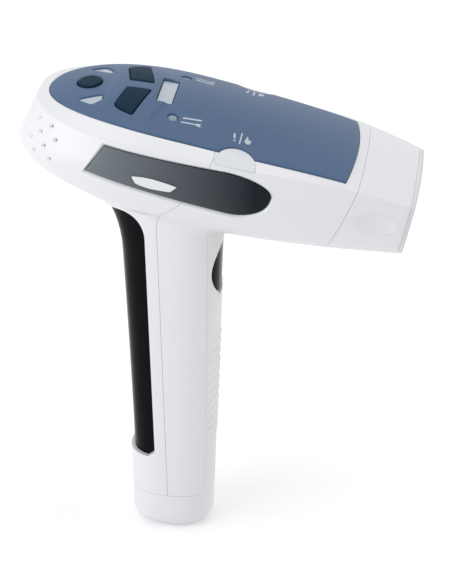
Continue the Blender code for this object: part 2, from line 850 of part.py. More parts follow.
def panel_outline(draw, steps=8):
    """Bullet outline of the control panel, drawn in by a distance."""
    inset = PANEL_MARGIN + draw
    half = EDGE.half_mid - inset
    tip = EDGE.tip + inset
    front = PANEL_FRONT_U - draw
    side = []
    power = 2.0 / NOSE_POWER
    for step in range(steps + 1):
        angle = math.pi / 2 * step / steps
        side.append((tip * max(math.cos(angle), 0.0) ** power, half * math.sin(angle) ** power))
    for step in range(1, steps + 1):
        u = (front - PANEL_FRONT_BOW) * step / steps
        taper = (EDGE.half_mid - EDGE.half_front) * (u / FRONT_FLAT_U) ** TAPER_POWER
        side.append((u, half - taper))
    end = side[-1][1]
    for step in range(1, steps // 2):
        y = end * (1 - 2 * step / steps)
        side.append((front - PANEL_FRONT_BOW * (y / end) ** 2, y))
    middle = [(front, 0.0)]
    return side + middle + [(u, -y) for u, y in reversed(side[1:])]


def plan_prism(outline, low=0.0):
    """Upright prism through the head's top."""
    return prism(outline, in_plan, low, HEAD_WIDTH)


def level_outline(grow):
    """Swept outline of the left level button, grown by a distance."""
    rear, front = LEVEL_REAR_U - grow, LEVEL_FRONT_U + grow
    inner, outer = LEVEL_INNER_Y - grow, LEVEL_OUTER_Y + grow
    rear_end, front_end = rear - LEVEL_SWEEP_REAR, front - LEVEL_SWEEP_FRONT
    low = outer - LEVEL_SLANT
    return [
        (rear, inner),
        (front, inner),
        (front_end, outer),
        (rear_end + 2 * LEVEL_CORNER, low + LEVEL_SLANT / 3),
        (rear_end + LEVEL_CORNER / 2, low - LEVEL_CORNER / 2),
        (rear_end, low - 2 * LEVEL_CORNER),
    ]


def indicator_outline(grow):
    """Triangular outline of the left indicator lens, grown by a distance."""
    return [
        (INDICATOR_TIP_U - grow, INDICATOR_TIP_Y),
        (INDICATOR_FRONT_U + grow, INDICATOR_INNER_Y - grow),
        (INDICATOR_FRONT_U + grow, (INDICATOR_INNER_Y + INDICATOR_OUTER_Y) / 2),
        ((INDICATOR_FRONT_U * 2 + INDICATOR_TIP_U) / 3, INDICATOR_OUTER_Y + grow),
    ]


def window_outline(grow):
    """Outline of the level window, grown by a distance."""
    half = WINDOW_HALF + grow
    return rectangle(WINDOW_REAR_U - grow, WINDOW_FRONT_U + grow, -half, half)


def status_outline(grow, steps=8):
    """Half-round outline of the left status lens, run out over the rim, grown by a distance."""
    radius = STATUS_RADIUS + grow
    points = [(STATUS_U + radius, BULGE_HALF), (STATUS_U - radius, BULGE_HALF)]
    for step in range(steps + 1):
        turn = math.pi * step / steps
        points.append((STATUS_U - radius * math.cos(turn), STATUS_Y - radius * math.sin(turn)))
    return points


def power_outline(grow):
    """Outline of the power button, grown by a distance."""
    return ellipse(POWER_U, 0.0, POWER_HALF_LENGTH + grow, POWER_HALF_WIDTH + grow)


def led_outline(grow):
    """Outline of the left LED lens, grown by a distance."""
    return ellipse(LED_U, LED_Y, LED_RADIUS + grow)


def inlay_outline(grow, steps=4):
    """Side-view outline of the dark inlay, slanted behind and rounded in front, grown by a distance."""
    rear, nose = INLAY_REAR_U - grow, INLAY_NOSE_W
    low, high = nose - INLAY_LOW_W + grow, INLAY_TOP_W - nose + grow
    points = [(rear - INLAY_REAR_SWEEP, INLAY_REAR_LOW_W - grow)]
    for step in range(-steps, steps + 1):
        turn = math.pi / 2 * step / steps
        run, reach = (INLAY_LOW_RUN, low) if step < 0 else (INLAY_TOP_RUN, high)
        u = INLAY_FRONT_U + grow - run * (1 - math.cos(turn))
        points.append((u, nose + reach * math.sin(turn)))
    return points + [(rear, INLAY_REAR_TOP_W + grow)]


def flank_prism(outline, sign):
    """Prism through one flank of the head from its side view."""
    depths = sorted((sign * INLAY_INSIDE_Y, sign * HEAD_WIDTH))
    return prism(outline, in_flank, *depths)


def back_grip_outline(grow, steps=4):
    """Side-view outline of the grip round the back of the handle, grown by a distance."""
    base = BACK_GRIP_BASE_Z - grow
    top = DATUM_Z - BACK_GRIP_TOP_DROP + grow
    base_edge, top_edge = BACK_GRIP_EDGE_BASE_X + grow, BACK_GRIP_EDGE_TOP_X + grow
    cut = BACK_GRIP_CUT
    points = [(-FAR, base), (base_edge - cut, base), (base_edge, base + cut)]
    for step in range(steps + 1):
        turn = math.pi / 2 * step / steps
        x = top_edge - BACK_GRIP_CORNER_RUN * (1 - math.cos(turn))
        points.append((x, top - BACK_GRIP_CORNER_DROP * (1 - math.sin(turn))))
    return points + [(-FAR, top)]


def finger_grip_outline(grow):
    """Side-view outline of the finger grip round the handle's front, grown by a distance."""
    top = DATUM_Z - FINGER_GRIP_TOP_DROP + grow
    return rectangle(FINGER_GRIP_EDGE_X - grow, FAR, FINGER_GRIP_BASE_Z - grow, top)


def front_prism(outline):
    """Prism through the handle's front from its front view."""
    return prism(outline, in_front, TRIGGER_SLOT_X, FAR)


def trigger_outline(grow, foot, steps=7):
    """Front-view outline of the trigger, an oval with a flat foot, grown by a distance and more below."""
    middle = DATUM_Z - TRIGGER_MIDDLE_DROP
    start, end = -TRIGGER_FLAT_TURN, math.pi + TRIGGER_FLAT_TURN
    half, height = TRIGGER_HALF + grow, TRIGGER_HALF_HEIGHT + grow
    points = []
    for step in range(steps + 1):
        turn = start + (end - start) * step / steps
        points.append((half * math.cos(turn), middle + height * math.sin(turn)))
    low = points[0][1] - foot
    return points + [(points[-1][0], low), (points[0][0], low)] if foot else points


def trigger_pivot():
    """World x and z of the trigger's hinge."""
    z = DATUM_Z - TRIGGER_MIDDLE_DROP + TRIGGER_HALF_HEIGHT + TRIGGER_PIVOT_RISE
    return handle_point(0.0, z, 0.0).x - TRIGGER_PIVOT_DEPTH, z


def button_foot():
    """Height in the head's frame where a button's stem ends above its switch."""
    return CONTROL_BOARD_TOP_W + GAP + TACT_HEIGHT + TACT_PLUNGER_HEIGHT + BUTTON_TRAVEL + GAP


def housing():
    """Rear and front shells, with pockets for everything that sits in their skin."""
    shell = minus(body(0.0), body(WALL))
    minus(shell, minus(plan_prism(panel_outline(0.0)), body(PANEL_THICKNESS + GAP)))
    minus(shell, plan_prism(panel_outline(PANEL_LEDGE)))
    for sign in (1, -1):
        pocket = flank_prism(inlay_outline(GAP), sign)
        minus(shell, minus(pocket, body(INLAY_THICKNESS + GAP)))
    minus(shell, minus(side_region(back_grip_outline(GAP)), body(GRIP_THICKNESS + GAP)))
    minus(shell, minus(side_region(finger_grip_outline(GAP)), body(GRIP_THICKNESS + GAP)))
    rear = within(duplicate(shell), rear_region())
    front = within(shell, front_region())
    rear.name, front.name = "rear_shell", "front_shell"
    finish_rear_shell(rear)
    finish_front_shell(front)
    return rear, front


def inside_wall(item, region=None):
    """Trim an inner feature so that it ends within the wall, below the pockets for the grips."""
    within(item, body((WALL + GRIP_THICKNESS + GAP) / 2))
    if region is not None:
        within(item, region)
    return item


def screw_post(z):
    """Cylinder right through the handle for one screw's posts."""
    return prism(ellipse(0.0, z, SCREW_POST_RADIUS), in_front, -FAR / 2, FAR / 2)


def screw_seat(z):
    """World x of the outer face of a screw's head."""
    return handle_point(math.pi, z, GRIP_THICKNESS + GAP).x + GAP


def screw_space(z, grow):
    """The screw's own shape, grown by a distance, as a head joined to a shank."""
    start = screw_seat(z)
    shank_end = SEAM_NECK_X + SCREW_REACH + grow
    head = prism(
        ellipse(0.0, z, SCREW_HEAD_RADIUS + grow), in_front, start - grow, start + SCREW_HEAD_HEIGHT + grow
    )
    shank = prism(ellipse(0.0, z, SCREW_RADIUS + grow), in_front, start + GAP, shank_end)
    return plus(head, shank)


def finish_rear_shell(shell):
    """Posts, shelf, bracket, fan rails and vents of the rear shell."""
    for z in (SCREW_LOWER_Z, SCREW_UPPER_Z):
        plus(shell, inside_wall(screw_post(z), rear_region(GAP)))
        minus(shell, screw_space(z, GAP))
    shelf = prism(rectangle(-FAR, FAR, -FAR, FAR), on_floor, SHELF_Z - SHELF_THICKNESS, SHELF_Z)
    plus(shell, inside_wall(shelf, rear_region(GAP)))
    plus(shell, inside_wall(switch_bracket(), rear_region(GAP)))
    for rail in fan_rails():
        plus(shell, inside_wall(rail))
    minus(shell, vent_holes())
    return shell


def switch_height():
    """Height of the trigger switch's middle."""
    return trigger_pivot()[1] - TRIGGER_NUB_DROP


def switch_bracket():
    """Block on the rear shell's wall that carries the trigger switch."""
    z = switch_height()
    outline = rectangle(
        -SWITCH_BRACKET_HALF_WIDTH,
        SWITCH_BRACKET_HALF_WIDTH,
        z - SWITCH_BRACKET_HALF_HEIGHT,
        z + SWITCH_BRACKET_HALF_HEIGHT,
    )
    return prism(outline, in_front, -FAR, SEAM_NECK_X - GAP * 2)


def fan_rails():
    """Two uprights and a foot that hold the fan's frame on the rear shell's floor."""
    half = FAN_SIZE / 2 + GAP
    low = FAN_W - half
    rails = []
    for sign in (1, -1):
        sides = sorted((sign * half, sign * (half + FAN_RAIL_THICKNESS)))
        outline = rectangle(FAN_U, FAN_U + FAN_DEPTH, *sides)
        rails.append(prism(outline, in_plan, -HEAD_WIDTH, low + FAN_RAIL_HEIGHT))
    reach = half + FAN_RAIL_THICKNESS / 2
    foot = rectangle(FAN_U + GAP, FAN_U + FAN_DEPTH - GAP, -reach, reach)
    rails.append(prism(foot, in_plan, -HEAD_WIDTH, low))
    return rails


def vent_holes():
    """Rows of round holes fanned through the head's rear wall, every other row half a step over."""
    bm = bmesh.new()
    for row in range(VENT_ROWS):
        w = VENT_LOW_W + VENT_ROW_STEP * row
        columns = VENT_COLUMNS - row % 2
        for column in range(columns):
            turn = VENT_SPREAD * (column - (columns - 1) / 2)
            add_vent(bm, turn, w - VENT_DIP * math.cos(turn))
    return make_object("cutter", bm)


def add_vent(bm, turn, w):
    """One vent hole as a short rod through the wall, aimed out from the nose's middle."""
    out = Vector((-math.cos(turn), math.sin(turn)))
    across = Vector((out.y, -out.x))
    centre = Vector((FAN_U + FAN_DEPTH, 0.0))
    loops = []
    for reach in (VENT_START, HEAD_REAR):
        loop = []
        for side in range(VENT_SIDES):
            spin = math.tau * (side + 0.5) / VENT_SIDES
            flat = centre + out * reach + across * (VENT_RADIUS * math.cos(spin))
            loop.append(bm.verts.new(head_place(flat.x, flat.y, w + VENT_RADIUS * math.sin(spin))))
        loops.append(loop)
    bm.faces.new(loops[0])
    bm.faces.new(reversed(loops[1]))
    for side in range(VENT_SIDES):
        follow = (side + 1) % VENT_SIDES
        bm.faces.new((loops[0][side], loops[1][side], loops[1][follow], loops[0][follow]))


def finish_front_shell(shell):
    """Posts, trigger slot and ears, board posts and lens pockets of the front shell."""
    for z in (SCREW_LOWER_Z, SCREW_UPPER_Z):
        plus(shell, inside_wall(screw_post(z), front_region(GAP)))
        minus(shell, screw_space(z, GAP))
    for post, peg in main_board_posts():
        plus(shell, inside_wall(post), peg)
    for ear in trigger_ears():
        plus(shell, inside_wall(ear))
    minus(shell, front_prism(trigger_outline(GAP, TRIGGER_FOOT_GAP)))
    minus(shell, pin_rod(TRIGGER_PIN_RADIUS + GAP, GAP))
    for outline in (status_outline(GAP), mirrored(status_outline(GAP))):
        pocket = plan_prism(outline, STATUS_LOW_W - GAP)
        minus(shell, minus(pocket, body(STATUS_THICKNESS + GAP)))
    return shell


def trigger_ears():
    """Two lugs behind the handle's front wall that carry the trigger's pin."""
    x, z = trigger_pivot()
    inner = TRIGGER_BARREL_HALF + GAP * 2
    ears = []
    for sign in (1, -1):
        sides = sorted((sign * inner, sign * (inner + TRIGGER_EAR_THICKNESS)))
        outline = rectangle(x - TRIGGER_EAR_RADIUS, FAR, z - TRIGGER_EAR_RADIUS, z + TRIGGER_EAR_RADIUS)
        ears.append(prism(outline, in_side, *sides))
    return ears


def pin_rod(radius, grow):
    """Rod along the trigger's hinge, the length of the pin grown at both ends."""
    x, z = trigger_pivot()
    half = TRIGGER_BARREL_HALF + GAP + TRIGGER_EAR_THICKNESS + grow
    return prism(ellipse(x, z, radius), in_side, -half, half)


def main_board_posts():
    """Posts on the front shell's floor and the pegs that locate the main board."""
    top = MAIN_BOARD_TOP_W - BOARD_THICKNESS - GAP
    posts = []
    for u in (MAIN_BOARD_REAR_U + MAIN_POST_MARGIN, MAIN_BOARD_FRONT_U - MAIN_POST_MARGIN):
        for y in (MAIN_POST_Y, -MAIN_POST_Y):
            post = prism(ellipse(u, y, POST_RADIUS), in_plan, -HEAD_WIDTH, top)
            peg = prism(ellipse(u, y, PEG_RADIUS), in_plan, top - GAP, top + PEG_LENGTH)
            posts.append((post, peg))
    return posts


def base_cap():
    """Cap that closes the handle, with a collar up inside the shells."""
    cap = within(body(0.0), below(CAP_HEIGHT - GAP / 2))
    collar = within(body(WALL + GAP), below(CAP_HEIGHT + CAP_COLLAR))
    plus(cap, collar)
    minus(cap, body(WALL + COLLAR_WALL))
    minus(cap, prism(ellipse(JACK_X, 0.0, JACK_RADIUS + GAP), on_floor, -FAR, CAP_HEIGHT / 2))
    seat = ellipse(JACK_X, 0.0, JACK_FLANGE_RADIUS + GAP)
    minus(cap, prism(seat, on_floor, WALL + COLLAR_WALL - GAP, CAP_HEIGHT))
    cap.name = "base_cap"
    return cap


def dc_jack():
    """Power inlet: a flanged barrel with a bore open below and a centre pin."""
    seat = WALL + COLLAR_WALL
    low = JACK_SET_BACK
    jack = prism(ellipse(JACK_X, 0.0, JACK_RADIUS), on_floor, low, low + JACK_LENGTH, "dc_jack")
    flange = ellipse(JACK_X, 0.0, JACK_FLANGE_RADIUS)
    plus(jack, prism(flange, on_floor, seat, seat + JACK_FLANGE_THICKNESS))
    minus(jack, prism(ellipse(JACK_X, 0.0, JACK_BORE_RADIUS), on_floor, -GAP, low + JACK_BORE_DEPTH))
    pin = prism(ellipse(JACK_X, 0.0, JACK_PIN_RADIUS), on_floor, low + GAP, low + JACK_BORE_DEPTH + GAP)
    return plus(jack, pin)


def control_panel():
    """Panel on top of the head, with holes for buttons and lenses and posts for its board."""
    panel = within(body(-PANEL_PROUD), plan_prism(panel_outline(GAP)))
    minus(panel, body(PANEL_THICKNESS))
    holes = [power_outline(GAP), window_outline(GAP)]
    for outline in (level_outline(GAP), indicator_outline(GAP), led_outline(GAP), status_outline(GAP)):
        holes += [outline, mirrored(outline)]
    for outline in holes:
        minus(panel, plan_prism(outline))
    for u, y in ((REAR_POST_U, REAR_POST_Y), (FRONT_POST_U, FRONT_POST_Y)):
        for side in (y, -y):
            post = plan_prism(ellipse(u, side, POST_RADIUS), CONTROL_BOARD_TOP_W + GAP)
            plus(panel, within(post, body(PANEL_THICKNESS / 2)))
            foot = CONTROL_BOARD_TOP_W + GAP - PEG_LENGTH
            peg = prism(ellipse(u, side, PEG_RADIUS), in_plan, foot, CONTROL_BOARD_TOP_W + GAP * 2)
            plus(panel, peg)
    panel.name = "control_panel"
    return panel


def lens(name, outline):
    """Lens that fills a hole in the panel, set a little below its face."""
    item = within(body(LENS_RECESS - PANEL_PROUD), plan_prism(outline))
    minus(item, body(PANEL_THICKNESS))
    item.name = name
    return item


def status_lens(name, outline):
    """Half-round lens that folds from the panel's edge over the rim."""
    item = within(body(0.0), plan_prism(outline, STATUS_LOW_W))
    minus(item, body(STATUS_THICKNESS))
    item.name = name
    return item


def button(name, outline, u, y):
    """Button with a flange under the panel and a stem above its switch."""
    item = within(body(-PANEL_PROUD - BUTTON_PROUD), plan_prism(outline(0.0)))
    flange_top = PANEL_THICKNESS + GAP
    minus(item, body(flange_top + BUTTON_FLANGE_THICKNESS / 2))
    flange = within(body(flange_top), plan_prism(outline(BUTTON_FLANGE)))
    minus(flange, body(flange_top + BUTTON_FLANGE_THICKNESS))
    stem = plan_prism(ellipse(u, y, BUTTON_STEM_RADIUS), button_foot())
    within(stem, body(flange_top + BUTTON_FLANGE_THICKNESS / 2))
    plus(item, flange, stem)
    item.name = name
    return item


def on_right(outline):
    """The outline function of the button on the right, from the left one's."""
    return lambda grow: mirrored(outline(grow))


def control_board():
    """Board under the panel, pegged to the panel's posts."""
    outline = [point for point in panel_outline(CONTROL_BOARD_INSET) if point[0] < CONTROL_BOARD_FRONT_U]
    half = max(y for _, y in outline)
    rear = [point for point in outline if point[1] >= 0.0]
    outline = rear + [(CONTROL_BOARD_FRONT_U, half), (CONTROL_BOARD_FRONT_U, -half)]
    outline += [(u, -y) for u, y in reversed(rear[1:])]
    low = CONTROL_BOARD_TOP_W - BOARD_THICKNESS
    board = prism(outline, in_plan, low, CONTROL_BOARD_TOP_W, "control_board")
    for u, y in ((REAR_POST_U, REAR_POST_Y), (FRONT_POST_U, FRONT_POST_Y)):
        for side in (y, -y):
            minus(board, prism(ellipse(u, side, PEG_RADIUS + GAP), in_plan, 0.0, HEAD_WIDTH))
    return board


def tact_switch(name, u, y):
    """Small push switch on the control board."""
    low = CONTROL_BOARD_TOP_W + GAP
    square = rectangle(u - TACT_HALF, u + TACT_HALF, y - TACT_HALF, y + TACT_HALF)
    switch = prism(square, in_plan, low, low + TACT_HEIGHT, name)
    top = low + TACT_HEIGHT + TACT_PLUNGER_HEIGHT
    return plus(switch, prism(ellipse(u, y, TACT_PLUNGER_RADIUS), in_plan, low + TACT_HEIGHT / 2, top))


def main_board():
    """Board with the charging circuit, pegged to posts on the front shell's floor."""
    outline = rectangle(MAIN_BOARD_REAR_U, MAIN_BOARD_FRONT_U, -MAIN_BOARD_HALF, MAIN_BOARD_HALF)
    board = prism(outline, in_plan, MAIN_BOARD_TOP_W - BOARD_THICKNESS, MAIN_BOARD_TOP_W, "main_board")
    for u in (MAIN_BOARD_REAR_U + MAIN_POST_MARGIN, MAIN_BOARD_FRONT_U - MAIN_POST_MARGIN):
        for y in (MAIN_POST_Y, -MAIN_POST_Y):
            minus(board, prism(ellipse(u, y, PEG_RADIUS + GAP), in_plan, -HEAD_WIDTH, HEAD_WIDTH))
    return board


def charge_transformer():
    """Transformer that charges the capacitor, on the main board: a core between two flanges."""
    low = MAIN_BOARD_TOP_W + GAP
    top = low + TRANSFORMER_HEIGHT
    rear, front = TRANSFORMER_U - TRANSFORMER_HALF_LENGTH, TRANSFORMER_U + TRANSFORMER_HALF_LENGTH
    half, step = TRANSFORMER_HALF_WIDTH, TRANSFORMER_STEP
    flange = rectangle(rear, front, -half, half)
    core = rectangle(rear + step, front - step, -half + step, half - step)
    item = prism(core, in_plan, low + step / 2, top - step / 2, "charge_transformer")
    return plus(item, prism(flange, in_plan, low, low + step), prism(flange, in_plan, top - step, top))


def storage_capacitor():
    """Flash capacitor standing on the shelf in the handle, with a rolled groove near its top."""
    low = SHELF_Z + GAP
    top = CAPACITOR_TOP_Z
    radius = CAPACITOR_RADIUS
    groove = top - radius / 2
    levels = [
        (radius, low),
        (radius, groove - CAPACITOR_GROOVE * 2),
        (radius - CAPACITOR_GROOVE, groove),
        (radius, groove + CAPACITOR_GROOVE * 2),
        (radius, top),
    ]
    bm = bmesh.new()
    rings = []
    for reach, z in levels:
        rings.append([bm.verts.new((x, y, z)) for x, y in ellipse(CAPACITOR_X, 0.0, reach)])
    bm.faces.new(rings[0])
    bm.faces.new(rings[-1])
    for lower, upper in zip(rings, rings[1:]):
        for index in range(ROUND_STEPS):
            follow = (index + 1) % ROUND_STEPS
            bm.faces.new((lower[index], lower[follow], upper[follow], upper[index]))
    return make_object("storage_capacitor", bm)


def fan_frame():
    """Square fan frame with a round duct and arms that carry the rotor's shaft."""
    half = FAN_SIZE / 2
    front = FAN_U + FAN_DEPTH
    square = rectangle(-half, half, FAN_W - half, FAN_W + half)
    frame = prism(square, along_head, FAN_U, front, "fan_frame")
    minus(frame, prism(ellipse(0.0, FAN_W, FAN_BORE_RADIUS, steps=2 * ROUND_STEPS), along_head, -FAR, FAR))
    boss = prism(ellipse(0.0, FAN_W, FAN_BOSS_RADIUS), along_head, front - FAN_ARM_DEPTH, front)
    reach = (FAN_BORE_RADIUS + half) / 2
    for across, up in ((reach, FAN_ARM_HALF), (FAN_ARM_HALF, reach)):
        bar = rectangle(-across, across, FAN_W - up, FAN_W + up)
        plus(boss, prism(bar, along_head, front - FAN_ARM_DEPTH + GAP / 3, front - GAP / 3))
    plus(frame, boss)
    bore = ellipse(0.0, FAN_W, FAN_SHAFT_RADIUS + GAP)
    return minus(frame, prism(bore, along_head, front - FAN_ARM_DEPTH - GAP, front + GAP))


def fan_rotor():
    """Fan rotor: a hub with pitched blades and a shaft stub in the frame's boss."""
    hub_front = FAN_U + FAN_DEPTH - FAN_ARM_DEPTH - GAP * 2
    hub_rear = hub_front - FAN_HUB_DEPTH
    rotor = prism(ellipse(0.0, FAN_W, FAN_HUB_RADIUS), along_head, hub_rear, hub_front, "fan_rotor")
    shaft = ellipse(0.0, FAN_W, FAN_SHAFT_RADIUS)
    plus(rotor, prism(shaft, along_head, hub_front - GAP, hub_front + GAP * 2 + FAN_SHAFT_LENGTH))
    for index in range(FAN_BLADES):
        plus(rotor, fan_blade(math.tau * index / FAN_BLADES, (hub_rear + hub_front) / 2))
    return rotor


def fan_blade(turn, middle):
    """One blade, pitched about its own spoke."""
    half_chord = FAN_BLADE_REACH / math.cos(FAN_BLADE_PITCH)
    along = Vector((math.cos(FAN_BLADE_PITCH), math.sin(FAN_BLADE_PITCH)))
    skew = Vector((-along.y, along.x)) * (FAN_BLADE_THICKNESS / 2)
    corners = [along * half_chord + skew, skew - along * half_chord]
    corners += [-along * half_chord - skew, along * half_chord - skew]

    def place(a, b, c):
        y = c * math.cos(turn) - b * math.sin(turn)
        w = c * math.sin(turn) + b * math.cos(turn)
        return head_place(middle + a, y, FAN_W + w)

    return prism([(p.x, p.y) for p in corners], place, FAN_BLADE_ROOT, FAN_BLADE_RADIUS)


def side_inlay(name, sign):
    """Dark strip set into one flank of the head."""
    item = within(body(INLAY_RECESS), flank_prism(inlay_outline(0.0), sign))
    minus(item, body(INLAY_THICKNESS))
    item.name = name
    return item


def back_grip():
    """Gloss grip wrapped round the back of the handle and up under the head."""
    item = within(body(0.0), side_region(back_grip_outline(0.0)))
    minus(item, body(GRIP_THICKNESS))
    item.name = "back_grip"
    return item


def finger_grip():
    """Soft strip down the front of the handle, with the trigger's slot through it."""
    item = within(body(0.0), side_region(finger_grip_outline(0.0)))
    minus(item, body(GRIP_THICKNESS))
    minus(item, front_prism(trigger_outline(GAP, TRIGGER_FOOT_GAP)))
    item.name = "finger_grip"
    return item


def trigger():
    """Trigger paddle with a barrel on the pin and a nub above the switch."""
    x, z = trigger_pivot()
    item = within(body(TRIGGER_RECESS), front_prism(trigger_outline(0.0, 0.0)))
    minus(item, body(TRIGGER_RECESS + TRIGGER_THICKNESS))
    barrel = ellipse(x, z, TRIGGER_BARREL_RADIUS)
    plus(item, plus(prism(barrel, in_side, -TRIGGER_BARREL_HALF, TRIGGER_BARREL_HALF), trigger_arm()))
    minus(item, prism(ellipse(x, z, TRIGGER_PIN_RADIUS + GAP), in_side, -FAR, FAR))
    height = switch_height()
    half = TRIGGER_NUB_HALF
    press = TRIGGER_NUB_DROP * math.sin(TRIGGER_SWING)
    tip = SEAM_NECK_X + SWITCH_DEPTH + press + GAP * 2
    end = handle_point(0.0, height, TRIGGER_RECESS + TRIGGER_THICKNESS / 2).x
    plus(item, prism(rectangle(-half, half, height - half, height + half), in_front, tip, end))
    item.name = "trigger"
    set_origin(item, Vector((x, 0.0, z)))
    return item


def trigger_arm():
    """Plate from the trigger's barrel down to the back of its paddle."""
    x, z = trigger_pivot()
    half = TRIGGER_ARM_HALF
    foot = z - TRIGGER_PIVOT_RISE - TRIGGER_ARM_DROP
    end = handle_point(0.0, foot, TRIGGER_RECESS + TRIGGER_THICKNESS / 2).x
    outline = [(x - half, z), (end, foot - half), (end, foot + half), (x + half, z)]
    return prism(outline, in_side, -TRIGGER_ARM_HALF_WIDTH, TRIGGER_ARM_HALF_WIDTH)


def trigger_pin():
    """Pin that the trigger hinges on."""
    item = pin_rod(TRIGGER_PIN_RADIUS, 0.0)
    item.name = "trigger_pin"
    return item


def trigger_switch():
    """Micro switch behind the trigger, on the rear shell's bracket."""
    z = switch_height()
    outline = rectangle(
        -SWITCH_HALF_WIDTH, SWITCH_HALF_WIDTH, z - SWITCH_HALF_HEIGHT, z + SWITCH_HALF_HEIGHT
    )
    return prism(outline, in_front, SEAM_NECK_X - GAP, SEAM_NECK_X + SWITCH_DEPTH, "trigger_switch")


def housing_screw(name, z):
    """Screw that holds the two shells together, under the back grip."""
    item = screw_space(z, 0.0)
    item.name = name
    return item


def lamp_window(grow):
    """Outline of the lamp's window in the cartridge's front, grown by a distance."""
    across, up = LAMP_HALF_WIDTH + grow, LAMP_HALF_HEIGHT + grow
    corners = [(-across, WINDOW_W - up), (across, WINDOW_W - up)]
    corners += [(across, WINDOW_W + up), (-across, WINDOW_W + up)]
    return rounded(corners, LAMP_CORNER + grow)


def bezel_back():
    """Where the bezel's flat back lies along the head."""
    return FRONT_FLAT_U - BEZEL_DEPTH


def wall_back():
    """Where the back of the cartridge's front wall lies along the head."""
    return bezel_back() - GAP - FRONT_WALL


def slab(rear, front):
    """Space between two planes across the head."""
    reach = HEAD_WIDTH
    return prism(rectangle(-reach, reach, -reach, reach), along_head, rear, front)


def cartridge_housing():
    """Lamp cartridge: its walls, its front wall and the collar that plugs into the front shell."""
    item = within(body(0.0), slab(-FAR, bezel_back() - GAP))
    within(item, ahead_of_cartridge_seam(GAP / 2))
    plus(item, cartridge_collar())
    minus(item, within(body(WALL + COLLAR_WALL + GAP), slab(-FAR, wall_back())))
    minus(item, prism(lamp_window(GLASS_LAP + GAP), along_head, 0.0, FAR))
    for sign in (1, -1):
        minus(item, thumb_dimple(sign))
    item.name = "cartridge_housing"
    return item


def cartridge_collar():
    """Block that fills the front shell's mouth and slides straight out of it."""
    reach = CARTRIDGE_COLLAR
    mouth = body(WALL + GAP)
    back = head_place(0.0, 0.0, 0.0) - head_place(reach, 0.0, 0.0)
    for vert in mouth.data.vertices:
        vert.co += back
    within(mouth, body(WALL + GAP))
    return within(mouth, ahead_of_cartridge_seam(-reach))


def flank_half(u, w):
    """Half-width of the head's flank near its widest level, ahead of the nose."""
    share = u / FRONT_FLAT_U
    half = BULGE.half_mid - (BULGE.half_mid - BULGE.half_front) * share**TAPER_POWER
    span = (belly_height(u) if w < bulge_height(u) else rim_height(u)) - bulge_height(u)
    return half - (half - RIM.half_front) / 2 * ((w - bulge_height(u)) / span) ** 2


def thumb_dimple(sign):
    """Shallow oval hollow for a thumb in the cartridge's flank."""
    bm = bmesh.new()
    bmesh.ops.create_uvsphere(bm, u_segments=ROUND_STEPS, v_segments=ROUND_STEPS // 2, radius=1.0)
    skin = flank_half(DIMPLE_U, DIMPLE_W)
    for vert in bm.verts:
        u = DIMPLE_U + vert.co.x * DIMPLE_HALF_LENGTH
        w = DIMPLE_W + vert.co.z * DIMPLE_HALF_HEIGHT
        vert.co = head_place(u, sign * (skin + DIMPLE_DEPTH + vert.co.y * DIMPLE_DEPTH * 2), w)
    return make_object("cutter", bm)


def cartridge_bezel():
    """Frame round the lamp's window, bowed in front and flat behind."""
    item = within(body(BEZEL_INSET), slab(bezel_back(), FAR))
    minus(item, prism(lamp_window(0.0), along_head, 0.0, FAR))
    item.name = "cartridge_bezel"
    return item


def filter_glass():
    """Filter glass in the front wall, held behind the bezel."""
    front = bezel_back() - GAP
    return prism(lamp_window(GLASS_LAP), along_head, front - GLASS_THICKNESS, front, "filter_glass")


def reflector():
    """Curved trough behind the flash tube, open to the glass."""
    front = wall_back() - GAP
    outer, inner = [], []
    for step in range(REFLECTOR_STEPS + 1):
        turn = math.pi * step / REFLECTOR_STEPS
        reach = REFLECTOR_HALF_HEIGHT
        outer.append((front - REFLECTOR_DEPTH * math.sin(turn), WINDOW_W + reach * math.cos(turn)))
        draw = REFLECTOR_THICKNESS
        inner.append(
            (front - (REFLECTOR_DEPTH - draw) * math.sin(turn), WINDOW_W + (reach - draw) * math.cos(turn))
        )
    half = REFLECTOR_HALF_WIDTH
    return prism(outer + inner[::-1], in_flank, -half, half, "reflector")


def tube_u():
    """Where the flash tube's axis lies along the head."""
    return wall_back() - TUBE_SET_BACK


def flash_tube():
    """Flash tube across the reflector, its ends in the two holders."""
    half = REFLECTOR_HALF_WIDTH + GAP + TUBE_END_LAP
    return prism(ellipse(tube_u(), WINDOW_W, TUBE_RADIUS), in_flank, -half, half, "flash_tube")


def lamp_holder(name, sign):
    """Block against the front wall that holds one end of the tube and the reflector."""
    front = wall_back() - GAP
    near = REFLECTOR_HALF_WIDTH + GAP
    sides = sorted((sign * near, sign * (near + HOLDER_THICKNESS)))
    half = HOLDER_HALF_HEIGHT
    outline = rectangle(front - HOLDER_DEPTH, front, WINDOW_W - half, WINDOW_W + half)
    item = prism(outline, in_flank, *sides, name)
    hole = sorted((sign * (near - GAP), sign * (near + TUBE_END_LAP + GAP)))
    return minus(item, prism(ellipse(tube_u(), WINDOW_W, TUBE_RADIUS + GAP), in_flank, *hole))


def carrier_front():
    """Where the contact carrier's front face lies along the head."""
    return CARTRIDGE_SEAM_U - CARRIER_SET_BACK


def contact_space(sign, grow):
    """One contact pin grown by a distance: a head in front of the carrier and a long shank."""
    y = sign * CONTACT_Y
    head_rear = carrier_front() + GAP
    head = ellipse(y, WINDOW_W, CONTACT_HEAD_RADIUS + grow)
    pin = prism(head, along_head, head_rear - grow, head_rear + CONTACT_HEAD_HEIGHT + grow)
    tail = SOCKET_FRONT_U - CONTACT_REACH - grow
    return plus(pin, prism(ellipse(y, WINDOW_W, CONTACT_RADIUS + grow), along_head, tail, head_rear + GAP))


